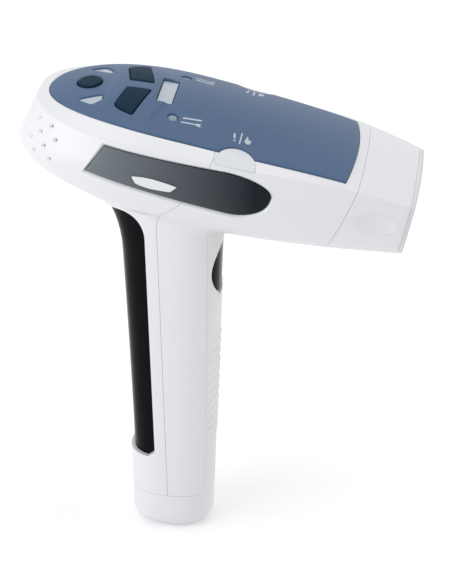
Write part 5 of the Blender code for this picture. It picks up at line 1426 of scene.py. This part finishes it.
        def height(u: float, y: float) -> float:
            """Height at one place."""
            spot = np.array([(u, y)])
            along = np.clip(((spot - loop) * ahead).sum(1) / square, 0.0, 1.0)
            off = np.sqrt((((loop + ahead * along[:, None]) - spot) ** 2).sum(1).min())
            depth = off if inside(spot, outline)[0] else 0.0
            return self.skin.top(u, y) + self.proud + self.pad_rise * ease(depth, 0.0, self.pad_slope)

        return height

    def level_top(self, rise: float) -> Callable[[float, float], float]:
        """Height of a surface that follows the panel's, raised by a distance."""
        return lambda u, y: self.skin.top(u, y) + self.proud + rise

    def build(self) -> None:
        """Make the panel and everything in it."""
        holes = [self.power_outline(GAP), self.window_outline(GAP)]
        for outline in (self.level_outline(GAP), self.indicator_outline(GAP), self.led_outline(GAP)):
            holes += [outline, mirrored(outline)]
        depth = self.proud + self.thickness
        plate = Plate(
            self.skin, "panel", self.notched(), self.field_top(), depth, self.edge, holes, self.pad_ridges()
        )
        place_piece(plate.build(), "panel_face", BLUE, "housing", "control_panel")
        self._buttons()
        self._lenses()
        self._pictograms()

    def _buttons(self) -> None:
        """The power button and the two level buttons, each a little crowned."""
        level = self.level_outline(0.0)
        keys = (
            ("power", self.power_outline(0.0), "power_key", "power_button"),
            ("level_left", level, "level_key_left", "level_button_left"),
            ("level_right", mirrored(level), "level_key_right", "level_button_right"),
        )
        top, sizes = self.level_top(self.button_proud), (self.button_depth, self.button_edge)
        for name, outline, body, node in keys:
            plate = Plate(self.skin, name, outline, top, *sizes, step=self.button_step)
            place_piece(plate.build(), name + "_cap", NAVY, body, node)

    def _lenses(self) -> None:
        """Flat lenses set down in the panel, and the lenses folded over its edge."""
        depth = self.thickness + self.proud - self.lens_recess
        sides = (("left", list), ("right", mirrored))
        flush = [("level_window", self.window_outline(0.0), LENS)]
        for side, turn in sides:
            flush.append(("indicator_lens_" + side, turn(self.indicator_outline(0.0)), LENS))
            flush.append(("led_lens_" + side, turn(self.led_outline(0.0)), LED))
        top = self.level_top(-self.lens_recess)
        for node, outline, finish in flush:
            plate = Plate(self.skin, node, outline, top, depth, self.lens_edge, step=self.lens_step)
            place_piece(plate.build(), node + "_face", finish, "housing", node)
        for side, turn in sides:
            node = "status_lens_" + side
            shape = self.status_prism(turn(self.status_outline(0.0)), 0.0)
            item = carve(self.skin.body(-self.status_proud), Cut.WITHIN, shape)
            carve(item, Cut.MINUS, self.skin.body(self.status_thickness))
            place_piece(self.normals.lend(item), node + "_face", FOLD, "housing", node)

    def status_prism(self, outline: list[Flat], grow: float) -> bpy.types.Object:
        """Upright prism of a folded lens, ending just above the crease."""
        return prism(outline, self.skin.place, self.status_low_w - grow, FAR)

    def _pictograms(self) -> None:
        """Small generic marks printed beside the lenses."""
        top, sizes = self.level_top(self.mark_proud), (self.mark_depth, self.mark_edge)
        for name, outline in MARKS.items():
            for side, turn in (("right", list), ("left", mirrored)):
                plate = Plate(self.skin, name, turn(outline), top, *sizes, step=self.mark_step, turns=1)
                place_piece(plate.build(), f"mark_{name}_{side}", LENS, "housing")


def shifted(points: Sequence[Flat], distance: float) -> list[Flat]:
    """An open line moved sideways, to its left for a positive distance."""
    moved = []
    for index, point in enumerate(points):
        ahead = Vector(points[min(index + 1, len(points) - 1)])
        run = (ahead - Vector(points[max(index - 1, 0)])).normalized()
        moved.append((point[0] - run.y * distance, point[1] + run.x * distance))
    return moved


def across(outline: Sequence[Flat]) -> bpy.types.Object:
    """Prism right across the object from its side view."""
    return prism(outline, in_side, -FAR, FAR)


@dataclass
class Seams:
    """Lines where the white mouldings meet."""

    skin: Skin
    cap_height: float = 0.0170
    base_x: float = -0.0015
    neck_x: float = -0.0063
    neck_drop: float = 0.0270
    foot: Flat = (0.0008, -0.0149)
    flank: Flat = (0.0064, -0.0066)
    rim_u: float = 0.0147
    cartridge_u: float = 0.0678
    cartridge_tilt: float = math.radians(12.6)
    reach: float = 0.06
    gap: float = 0.00012

    def shells(self) -> list[Flat]:
        """Side-view line between the two shells, from the base cap up over the head."""
        skin = self.skin
        knots = [
            (self.neck_x, DATUM_Z - self.neck_drop),
            skin.flat(*self.foot),
            skin.flat(*self.flank),
            skin.flat(self.rim_u, skin.rim_w),
            skin.flat(self.rim_u, skin.rim_w + skin.crown_top),
        ]
        return [(self.base_x, self.cap_height)] + smooth_line(knots, 10)

    def cartridge(self, offset: float) -> list[Flat]:
        """Two points of the tilted line between the cartridge and the front shell."""
        lean = math.tan(self.cartridge_tilt) * self.reach
        ahead = self.cartridge_u + offset
        return [self.skin.flat(ahead + lean, self.reach), self.skin.flat(ahead - lean, -self.reach)]

    def rear(self) -> bpy.types.Object:
        """Space of the rear shell."""
        line = shifted(self.shells(), self.gap / 2)
        low = self.cap_height + self.gap / 2
        return across([(line[0][0], low), *line[1:], (-FAR, line[-1][1]), (-FAR, low)])

    def front(self) -> bpy.types.Object:
        """Space of the front shell."""
        line = shifted(self.shells(), -self.gap / 2)
        low = self.cap_height + self.gap / 2
        limit = self.cartridge(-self.gap / 2)
        return across([(line[0][0], low), *line[1:], *limit, (limit[1][0], low)])

    def ahead(self, offset: float) -> bpy.types.Object:
        """Space in front of the cartridge's seam, moved along the head by an offset."""
        limit = self.cartridge(offset)
        return across([*limit, (FAR * 2, limit[1][1]), (FAR * 2, limit[0][1])])

    def below(self) -> bpy.types.Object:
        """Space of the base cap."""
        return across(rectangle(-FAR, FAR, -FAR, self.cap_height - self.gap / 2))


@dataclass
class SideInlays:
    """Dark gloss strips let into the head's flanks."""

    skin: Skin
    normals: SkinNormals
    recess: float = 0.0004
    thickness: float = 0.0014
    mouth: float = 0.0009
    mouth_depth: float = 0.0009
    rear_u: float = -0.0258
    rear_sweep: float = 0.0052
    front_u: float = 0.0398
    top_w: float = 0.0111
    rear_top_w: float = 0.0084
    low_w: float = -0.0043
    rear_low_w: float = -0.0029
    nose_w: float = 0.0058
    top_run: float = 0.0180
    low_run: float = 0.0150
    inside_y: float = 0.020

    def outline(self, grow: float, steps: int = 10, parts: int = 6) -> list[Flat]:
        """Side-view outline, slanted behind and rounded in front."""
        rear, nose = self.rear_u - grow, self.nose_w
        low, high = nose - self.low_w + grow, self.top_w - nose + grow
        points = [(rear - self.rear_sweep, self.rear_low_w - grow)]
        for step in range(-steps, steps + 1):
            turn = math.pi / 2 * step / steps
            run, reach = (self.low_run, low) if step < 0 else (self.top_run, high)
            points.append((self.front_u + grow - run * (1 - math.cos(turn)), nose + reach * math.sin(turn)))
        return divided(points + [(rear, self.rear_top_w + grow)], lambda length: parts)

    def row(self, grow: float, lift: float, side: Side) -> list[Vector]:
        """The outline laid on the skin, lifted off it along y."""
        row = []
        for u, w in self.outline(grow):
            spot = self.normals.hit(self.skin.place(u, FAR * side.value, w), Vector((0.0, -side.value, 0.0)))
            row.append(Vector((spot.x, spot.y + lift * side.value, spot.z)))
        return row

    def pocket(self, side: Side) -> bpy.types.Object:
        """Pocket for one strip, with a bevelled mouth."""
        floor = [self.skin.place(u, self.inside_y * side.value, w) for u, w in self.outline(GAP)]
        rows = [floor, self.row(GAP, -self.mouth_depth, side), self.row(GAP + self.mouth, GAP / 2, side)]
        rows.append(self.row(GAP + self.mouth * 2, self.mouth * 4, side))
        return carve(loft(rows), Cut.MINUS, self.skin.body(self.thickness + GAP))

    def build(self) -> None:
        """Make both strips."""
        for side in Side:
            name = "side_inlay_" + side.name.lower()
            depths = sorted((self.inside_y * side.value, FAR * side.value))
            item = prism(self.outline(0.0), self.skin.in_flank, *depths)
            carve(item, Cut.WITHIN, self.skin.body(self.recess))
            carve(item, Cut.MINUS, self.skin.body(self.thickness))
            # Each strip's grey that fades to near-black is a painted reflection
            place_piece(self.normals.lend(item, self.recess * 2), name + "_face", STRIP_PAINTED_REFLECTION, "housing", name)


@dataclass
class Grips:
    """Gloss back grip and soft finger strip of the handle, with the strip's ribs."""

    skin: Skin
    normals: SkinNormals
    thickness: float = 0.0013
    back_thickness: float = 0.0021
    back_recess: float = 0.0014
    back_base_z: float = 0.0355
    back_top_drop: float = 0.0233
    back_edge: Flat = (-0.0073, -0.0113)
    corner: Flat = (0.0105, 0.0125)
    foot_cut: float = 0.0027
    finger_x: float = 0.0137
    finger_base_z: float = 0.0210
    finger_top_drop: float = 0.0330
    ribs: int = 11
    rib_low_z: float = 0.0425
    rib_step: float = 0.0045
    rib_spread: float = 0.66
    rib_rise: float = 0.0018
    rib_half: float = 0.0007
    rib_height: float = 0.0004
    rib_sections: int = 24
    rib_sides: int = 6
    rib_fade: int = 6
    rib_least: float = 0.05
    rib_sharp: float = math.radians(50.0)
    finger_fit: float = 0.85

    def back_outline(self, grow: float, steps: int = 14) -> list[Flat]:
        """Side-view outline of the grip round the back."""
        base = self.back_base_z - grow
        top = DATUM_Z - self.back_top_drop + grow
        low_x, high_x = self.back_edge[0] + grow, self.back_edge[1] + grow
        points = [(-FAR, base), (low_x - self.foot_cut, base), (low_x, base + self.foot_cut)]
        for step in range(steps + 1):
            turn = math.pi / 2 * step / steps
            x = high_x - self.corner[0] * (1 - math.cos(turn))
            points.append((x, top - self.corner[1] * (1 - math.sin(turn))))
        return points + [(-FAR, top)]

    def finger_outline(self, grow: float) -> list[Flat]:
        """Side-view outline of the strip round the front."""
        top = DATUM_Z - self.finger_top_drop + grow
        return rectangle(self.finger_x - grow, FAR, self.finger_base_z - grow, top)

    def pockets(self) -> list[bpy.types.Object]:
        """Pockets for both in the shells."""
        made = []
        for outline, depth in (
            (self.back_outline(GAP), self.back_thickness),
            (self.finger_outline(GAP), self.thickness),
        ):
            made.append(carve(across(outline), Cut.MINUS, self.skin.body(depth + GAP)))
        return made

    def build(self, slot: bpy.types.Object) -> None:
        """Make the grips, with the trigger's slot through the finger strip."""
        back = carve(self.skin.body(self.back_recess), Cut.WITHIN, across(self.back_outline(0.0)))
        carve(back, Cut.MINUS, self.skin.body(self.back_thickness))
        self.normals.lend(back, self.back_recess * 2)
        place_piece(back, "back_grip_face", BLACK, "housing", "back_grip")
        finger = carve(self.skin.body(0.0), Cut.WITHIN, across(self.finger_outline(GAP * self.finger_fit)))
        carve(finger, Cut.MINUS, self.skin.body(self.thickness), slot)
        place_piece(self.normals.lend(finger), "finger_grip_face", SOFT, "housing", "finger_grip")
        place_piece(self._ribs(), "finger_ribs", SOFT, "housing")

    def _rib(self) -> bpy.types.Object:
        """One chevron rib, lying on the handle's front at its lowest place."""
        loops = []
        turns = [math.pi * side / self.rib_sides for side in range(self.rib_sides + 1)]
        for step in range(self.rib_sections + 1):
            turn = self.rib_spread * (2 * step / self.rib_sections - 1)
            spot = self.skin.handle(turn, self.rib_low_z, 0.0)
            out = (spot - Vector((0.0, 0.0, self.rib_low_z))).normalized()
            spread = abs(turn) / self.rib_spread
            size = max(self.rib_least, math.sqrt(1 - spread**self.rib_fade))
            spot.z += self.rib_rise * (1 - spread)
            loop = []
            for bend in turns:
                up = Vector((0, 0, math.cos(bend) * self.rib_half * size))
                loop.append(spot + up + out * math.sin(bend) * self.rib_height * size)
            loops.append(loop + [spot - out * self.rib_height])
        return loft(loops, "rib")

    def _ribs(self) -> bpy.types.Object:
        """The row of ribs up the strip."""
        low, high = (self.skin.handle(0.0, self.rib_low_z + rise, 0.0) for rise in (0.0, self.rib_step))
        values = {
            "Shape": self._rib(),
            "Finish": SOFT.material(),
            "Count": self.ribs,
            "Start": (0.0, 0.0, 0.0),
            "Step": tuple(high - low),
            "Scale": 1.0,
        }
        item = Repeat("rib_row", True).build("ribs", bpy.data.meshes.new("ribs"), values)
        item.data.shade_smooth()
        item.data.set_sharp_from_angle(angle=self.rib_sharp)
        return item


@dataclass
class Trigger:
    """Black trigger paddle in the handle's front."""

    skin: Skin
    normals: SkinNormals
    half: float = 0.0106
    half_height: float = 0.0118
    middle_drop: float = 0.0510
    flat_turn: float = math.radians(60.0)
    foot_gap: float = 0.0012
    recess: float = 0.0004
    thickness: float = 0.0040
    slot_x: float = 0.006
    draw: float = 0.0004

    def outline(self, grow: float, foot: float, steps: int = 32) -> list[Flat]:
        """Front-view outline, an oval with a flat foot."""
        middle = DATUM_Z - self.middle_drop
        start, end = -self.flat_turn, math.pi + self.flat_turn
        half, height = self.half + grow, self.half_height + grow
        points = []
        for step in range(steps + 1):
            turn = start + (end - start) * step / steps
            points.append((half * math.cos(turn), middle + height * math.sin(turn)))
        low = points[0][1] - foot
        return points + [(points[-1][0], low), (points[0][0], low)] if foot else points

    def slot(self) -> bpy.types.Object:
        """Opening for the paddle."""
        return prism(self.outline(GAP, self.foot_gap), in_front, self.slot_x, FAR)

    def build(self) -> None:
        """Make the paddle."""
        item = prism(self.outline(-self.draw, 0.0), in_front, self.slot_x, FAR)
        carve(item, Cut.WITHIN, self.skin.body(self.recess))
        carve(item, Cut.MINUS, self.skin.body(self.recess + self.thickness))
        place_piece(self.normals.lend(item, self.recess * 2), "trigger_paddle", BLACK, "trigger", "trigger")


@dataclass
class Vents:
    """Staggered rows of dimpled holes round the head's rear end."""

    skin: Skin
    normals: SkinNormals
    centre_u: float = -0.0295
    rows: int = 4
    columns: int = 9
    low_w: float = -0.0036
    dip: float = 0.0038
    row_step: float = 0.0040
    spread: float = math.radians(15.5)
    sides: int = 14
    profile: tuple[Flat, ...] = (
        (0.0019, 0.0012),
        (0.0013, 0.0002),
        (0.0011, -0.0001),
        (0.0008, -0.0004),
        (0.0005, -0.0007),
        (0.0005, -0.0060),
    )

    def drill(self) -> bpy.types.Object:
        """Shape that one hole takes out, flared at the skin."""
        loops = []
        for radius, depth in self.profile:
            loops.append([Vector((*point, depth)) for point in ellipse(0.0, 0.0, radius, radius, self.sides)])
        return loft(loops, "drill")

    def points(self) -> bpy.types.Mesh:
        """The holes' places on the skin, each with its outward direction."""
        spots, ways = [], []
        middle = self.skin.place(self.centre_u, 0.0, 0.0)
        for row in range(self.rows):
            columns = self.columns - row % 2
            for column in range(columns):
                turn = self.spread * (column - (columns - 1) / 2)
                lift = self.low_w + self.row_step * row - self.dip * math.cos(turn)
                start = self.skin.place(self.centre_u, 0.0, lift)
                way = self.skin.place(self.centre_u - math.cos(turn), math.sin(turn), 0.0) - middle
                spots.append(self.normals.hit(start + way * FAR, -way))
                ways.append(self.normals.at(spots[-1])[0])
        mesh = bpy.data.meshes.new("vents")
        mesh.from_pydata(spots, [], [])
        out = mesh.attributes.new("out", "FLOAT_VECTOR", "POINT")
        out.data.foreach_set("vector", [part for way in ways for part in way])
        return mesh

    def cutter(self) -> bpy.types.Object:
        """All the holes as one cutter."""
        values = {"Shape": self.drill(), "Finish": WHITE.material(), "Scale": 1.0}
        return Repeat("vent_holes", False).build("vents", self.points(), values)


@dataclass
class Housing:
    """The two white shells and the base cap."""

    skin: Skin
    normals: SkinNormals
    seams: Seams
    panel: ControlPanel
    inlays: SideInlays
    grips: Grips
    trigger: Trigger
    vents: Vents
    wall: float = 0.0026
    panel_ledge: float = 0.004
    jack_x: float = -0.005
    jack_radius: float = 0.0043

    def shell(self) -> bpy.types.Object:
        """Hollow skin with pockets for all that is let into it."""
        shell = carve(self.skin.body(0.0), Cut.MINUS, self.skin.body(self.wall, COARSE))
        seat = prism(self.panel.outline(0.0), self.skin.place, 0.0, FAR)
        carve(shell, Cut.MINUS, carve(seat, Cut.MINUS, self.skin.body(self.panel.thickness + GAP)))
        carve(shell, Cut.MINUS, prism(self.panel.outline(self.panel_ledge), self.skin.place, 0.0, FAR))
        carve(shell, Cut.MINUS, *[self.inlays.pocket(side) for side in Side])
        return carve(shell, Cut.MINUS, *self.grips.pockets())

    def build(self) -> None:
        """Make the shells and the cap."""
        rear = carve(self.shell(), Cut.WITHIN, self.seams.rear())
        carve(rear, Cut.MINUS, self.vents.cutter())
        place_piece(self.normals.lend(rear), "rear_shell_skin", WHITE, "housing", "rear_shell")
        front = carve(self.shell(), Cut.WITHIN, self.seams.front())
        carve(front, Cut.MINUS, self.trigger.slot())
        fit = self.panel.status_fit
        for outline in (self.panel.status_outline(fit), mirrored(self.panel.status_outline(fit))):
            pocket = self.panel.status_prism(outline, fit)
            floor = self.skin.body(self.panel.status_thickness + GAP)
            carve(front, Cut.MINUS, carve(pocket, Cut.MINUS, floor))
        place_piece(self.normals.lend(front), "front_shell_skin", WHITE, "housing", "front_shell")
        cap = carve(self.skin.body(0.0), Cut.WITHIN, self.seams.below())
        carve(cap, Cut.MINUS, self.skin.body(self.wall * 2, COARSE))
        bore = ellipse(self.jack_x, 0.0, self.jack_radius, self.jack_radius)
        carve(cap, Cut.MINUS, prism(bore, in_plan, -FAR, FAR))
        place_piece(self.normals.lend(cap), "base_cap_skin", WHITE, "housing", "base_cap")


@dataclass
class Cartridge:
    """White lamp cartridge with its collar, thumb dimples and front bezel."""

    skin: Skin
    normals: SkinNormals
    seams: Seams
    wall: float = 0.0026
    collar_wall: float = 0.0019
    collar: float = 0.008
    bezel_depth: float = 0.0014
    bezel_inset: float = 0.00005
    bezel_gap: float = 0.00008
    front_wall: float = 0.0030
    lamp_half: Flat = (0.0143, 0.0065)
    lamp_corner: float = 0.0030
    glass_lap: float = 0.0018
    dimple_u: float = 0.0809
    dimple_w: float = 0.0042
    dimple_half: Flat = (0.0112, 0.0056)
    dimple_depth: float = 0.0012
    dimple_sides: int = 48

    @property
    def bezel_back(self) -> float:
        """Where the bezel's flat back lies along the head."""
        return self.skin.front_flat - self.bezel_depth

    def slab(self, rear: float, front: float) -> bpy.types.Object:
        """Space between two planes across the head."""
        return prism(rectangle(-FAR, FAR, -FAR, FAR), self.skin.along_head, rear, front)

    def lamp_window(self, grow: float) -> bpy.types.Object:
        """Opening in front of the lamp."""
        half_y, half_w = self.lamp_half[0] + grow, self.lamp_half[1] + grow
        middle = self.skin.window_w
        corners = rectangle(-half_y, half_y, middle - half_w, middle + half_w)
        return prism(rounded(corners, self.lamp_corner + grow), self.skin.along_head, 0.0, FAR)

    def plug(self) -> bpy.types.Object:
        """Collar that slides into the front shell's mouth."""
        inset = self.wall + GAP
        mouth = self.skin.body(inset, COARSE)
        back = self.skin.place(0.0, 0.0, 0.0) - self.skin.place(self.collar, 0.0, 0.0)
        for vert in mouth.data.vertices:
            vert.co += back
        carve(mouth, Cut.WITHIN, self.skin.body(inset, COARSE))
        return carve(mouth, Cut.WITHIN, self.seams.ahead(-self.collar))

    def dimple(self, side: Side) -> bpy.types.Object:
        """Shallow oval hollow for a thumb, sunk square to the flank."""
        start = self.skin.place(self.dimple_u, FAR * side.value, self.dimple_w)
        spot = self.normals.hit(start, Vector((0.0, -side.value, 0.0)))
        out = self.normals.at(spot)[0]
        along = self.skin.place(1.0, 0.0, 0.0) - self.skin.place(0.0, 0.0, 0.0)
        along = (along - out * along.dot(out)).normalized()
        up = out.cross(along)
        bm = bmesh.new()
        sides = self.dimple_sides
        bmesh.ops.create_uvsphere(bm, u_segments=sides, v_segments=sides // 2, radius=1.0)
        for vert in bm.verts:
            a, b, c = vert.co
            lift = self.dimple_depth * (1.0 + 2.0 * c)
            vert.co = spot + along * a * self.dimple_half[0] + up * b * self.dimple_half[1] + out * lift
        return make_object("dimple", bm)

    def build(self) -> None:
        """Make the cartridge's housing and its bezel."""
        item = carve(self.skin.body(0.0), Cut.WITHIN, self.slab(-FAR, self.bezel_back - self.bezel_gap))
        carve(item, Cut.WITHIN, self.seams.ahead(self.seams.gap / 2))
        carve(item, Cut.PLUS, self.plug())
        hollow = self.skin.body(self.wall + self.collar_wall + GAP, COARSE)
        carve(hollow, Cut.WITHIN, self.slab(-FAR, self.bezel_back - GAP - self.front_wall))
        carve(item, Cut.MINUS, hollow, self.lamp_window(self.glass_lap + GAP))
        carve(item, Cut.MINUS, *[self.dimple(side) for side in Side])
        place_piece(self.normals.lend(item), "cartridge_skin", WHITE, "cartridge", "cartridge_housing")
        bezel = carve(self.skin.body(self.bezel_inset), Cut.WITHIN, self.slab(self.bezel_back, FAR))
        carve(bezel, Cut.MINUS, self.lamp_window(0.0))
        place_piece(self.normals.lend(bezel), "cartridge_front", WHITE, "cartridge", "cartridge_bezel")


@dataclass(frozen=True)
class Works:
    """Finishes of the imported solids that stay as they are, inside and underneath."""

    inner: tuple[str, ...] = (
        "power_switch",
        "level_switch_left",
        "level_switch_right",
        "charge_transformer",
        "fan_frame",
        "fan_rotor",
        "trigger_switch",
        "dc_jack",
        "contact_carrier",
        "lamp_socket",
    )
    boards: tuple[str, ...] = ("control_board", "main_board")
    cans: tuple[str, ...] = ("storage_capacitor",)
    steel: tuple[str, ...] = ("trigger_pin", "housing_screw_lower", "housing_screw_upper")
    brass: tuple[str, ...] = ("contact_pin_left", "contact_pin_right")
    mirrors: tuple[str, ...] = ("reflector",)
    filters: tuple[str, ...] = ("filter_glass",)
    tubes: tuple[str, ...] = ("flash_tube",)
    ceramic: tuple[str, ...] = ("lamp_holder_left", "lamp_holder_right")

    def dress(self, nodes: dict) -> None:
        """Give every node its finish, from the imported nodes' objects by name."""
        groups = [(self.inner, INNER), (self.boards, BOARD), (self.cans, CAN), (self.steel, STEEL)]
        groups += [(self.brass, BRASS), (self.mirrors, MIRROR), (self.filters, AMBER)]
        groups += [(self.tubes, QUARTZ), (self.ceramic, CERAMIC)]
        for names, finish in groups:
            for name in names:
                for slot in nodes[name].material_slots:
                    slot.material = finish.material()
                LOG.info("%s keeps its solid in %s", name, finish.name)


@dataclass(frozen=True)
class Lamp:
    """One soft studio lamp."""

    name: str
    place: Spot
    size: Flat
    power: float


@dataclass(frozen=True)
class Studio:
    """Floor, lamps, world and camera."""

    frame_width: float = 452.0
    frame_height: float = 584.0
    sensor: float = 36.0
    target: Spot = (0.015, 0.0, 0.105)
    distance: float = 1.0
    azimuth: float = math.radians(7.205)
    elevation: float = math.radians(29.024)
    roll: float = math.radians(0.971)
    focal: float = 2479.769
    centre: Flat = (214.671, 297.506)
    ambient: float = 0.58
    floor_half: float = 3.0
    floor_glow: float = 0.25
    floor_low: Colour = (0.9, 0.9, 0.905)
    floor_high: Colour = (0.93, 0.93, 0.935)
    lamps: tuple[Lamp, ...] = (
        Lamp("key", (-1.35, -1.05, 0.75), (1.5, 1.3), 13.5),
        Lamp("top", (0.0, 0.2, 1.6), (1.2, 1.2), 5.0),
        Lamp("rim", (1.6, 0.3, 0.55), (0.8, 0.8), 4.0),
    )

    def build(self) -> None:
        """Set up everything round the object."""
        bpy.context.scene.view_settings.view_transform = "Standard"
        self._floor()
        self._world()
        for lamp in self.lamps:
            self._lamp(lamp)
        self._camera()

    def _floor(self) -> None:
        """Wide pale floor that takes the shadow."""
        bm = bmesh.new()
        half = self.floor_half
        bm.faces.new([bm.verts.new((x, y, 0.0)) for x, y in rectangle(-half, half, -half, half)])
        mesh = bpy.data.meshes.new("floor")
        bm.to_mesh(mesh)
        bm.free()
        floor = bpy.data.objects.new("floor", mesh)
        bpy.context.scene.collection.objects.link(floor)
        material = bpy.data.materials.new("pale_floor")
        shader = Shader(material)
        tint = shader.mix(shader.noise(6.0, 3.0), self.floor_low, self.floor_high)
        matt = shader.node("ShaderNodeBsdfDiffuse", {}, {"Color": tint})
        light = {"Color": PLAIN_WHITE, "Strength": self._seen(shader) * self.floor_glow}
        glow = shader.node("ShaderNodeEmission", {}, light)
        both = shader.node("ShaderNodeAddShader", {}, {0: matt, 1: glow})
        shader.node("ShaderNodeOutputMaterial", {}, {"Surface": both})
        mesh.materials.append(material)

    @staticmethod
    def _seen(shader: Shader) -> Socket:
        """One for rays that show the background itself, straight or in gloss and glass."""
        kinds = ("Is Camera Ray", "Is Glossy Ray", "Is Transmission Ray")
        straight, gloss, glass = (shader.node("ShaderNodeLightPath", {}, {}, kind) for kind in kinds)
        return straight + gloss + glass > 0.5

    def _world(self) -> None:
        """White behind the object, and a plain soft light from all round."""
        world = bpy.data.worlds.new("studio")
        bpy.context.scene.world = world
        shader = Shader(world)
        strength = self._seen(shader) * (1.0 - self.ambient) + self.ambient
        sky = shader.node("ShaderNodeBackground", {}, {"Color": PLAIN_WHITE, "Strength": strength})
        shader.node("ShaderNodeOutputWorld", {}, {"Surface": sky})

    def _lamp(self, lamp: Lamp) -> None:
        """Add one lamp, aimed at the object."""
        light = bpy.data.lights.new(lamp.name, "AREA")
        light.shape = "RECTANGLE"
        light.size, light.size_y = lamp.size
        light.energy = lamp.power
        item = bpy.data.objects.new(lamp.name, light)
        item.location = lamp.place
        aim = Vector(self.target) - Vector(lamp.place)
        item.rotation_euler = aim.to_track_quat("-Z", "Y").to_euler()
        bpy.context.scene.collection.objects.link(item)

    def _camera(self) -> None:
        """Camera at the photograph's viewing angle."""
        cosine, sine = math.cos(self.elevation), math.sin(self.elevation)
        back = Vector((math.sin(self.azimuth) * cosine, -math.cos(self.azimuth) * cosine, sine))
        right = Vector((math.cos(self.azimuth), math.sin(self.azimuth), 0.0))
        up = back.cross(right)
        side = right * math.cos(self.roll) + up * math.sin(self.roll)
        rise = up * math.cos(self.roll) - right * math.sin(self.roll)
        camera = bpy.data.cameras.new("camera")
        camera.sensor_fit = "VERTICAL"
        camera.sensor_height = self.sensor
        camera.lens = self.sensor * self.focal / self.frame_height
        camera.shift_x = (self.frame_width / 2 - self.centre[0]) / self.frame_height
        camera.shift_y = (self.centre[1] - self.frame_height / 2) / self.frame_height
        item = bpy.data.objects.new("camera", camera)
        turn = Matrix((side, rise, back)).transposed().to_4x4()
        item.matrix_world = Matrix.Translation(Vector(self.target) + back * self.distance) @ turn
        bpy.context.scene.collection.objects.link(item)
        bpy.context.scene.camera = item


def main() -> None:
    """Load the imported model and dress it, sub-assembly by sub-assembly."""
    logging.basicConfig(level=logging.INFO, format="%(message)s")
    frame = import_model()
    Studio().build()
    skin = Skin()
    normals = SkinNormals(skin.body(0.0))
    seams = Seams(skin)
    panel = ControlPanel(skin, normals, seams.cartridge_u)
    inlays = SideInlays(skin, normals)
    grips = Grips(skin, normals)
    trigger = Trigger(skin, normals)
    panel.build()
    inlays.build()
    grips.build(trigger.slot())
    trigger.build()
    Housing(skin, normals, seams, panel, inlays, grips, trigger, Vents(skin, normals)).build()
    Cartridge(skin, normals, seams).build()
    Works().dress(frame["nodes"])


if __name__ == "__main__":
    main()
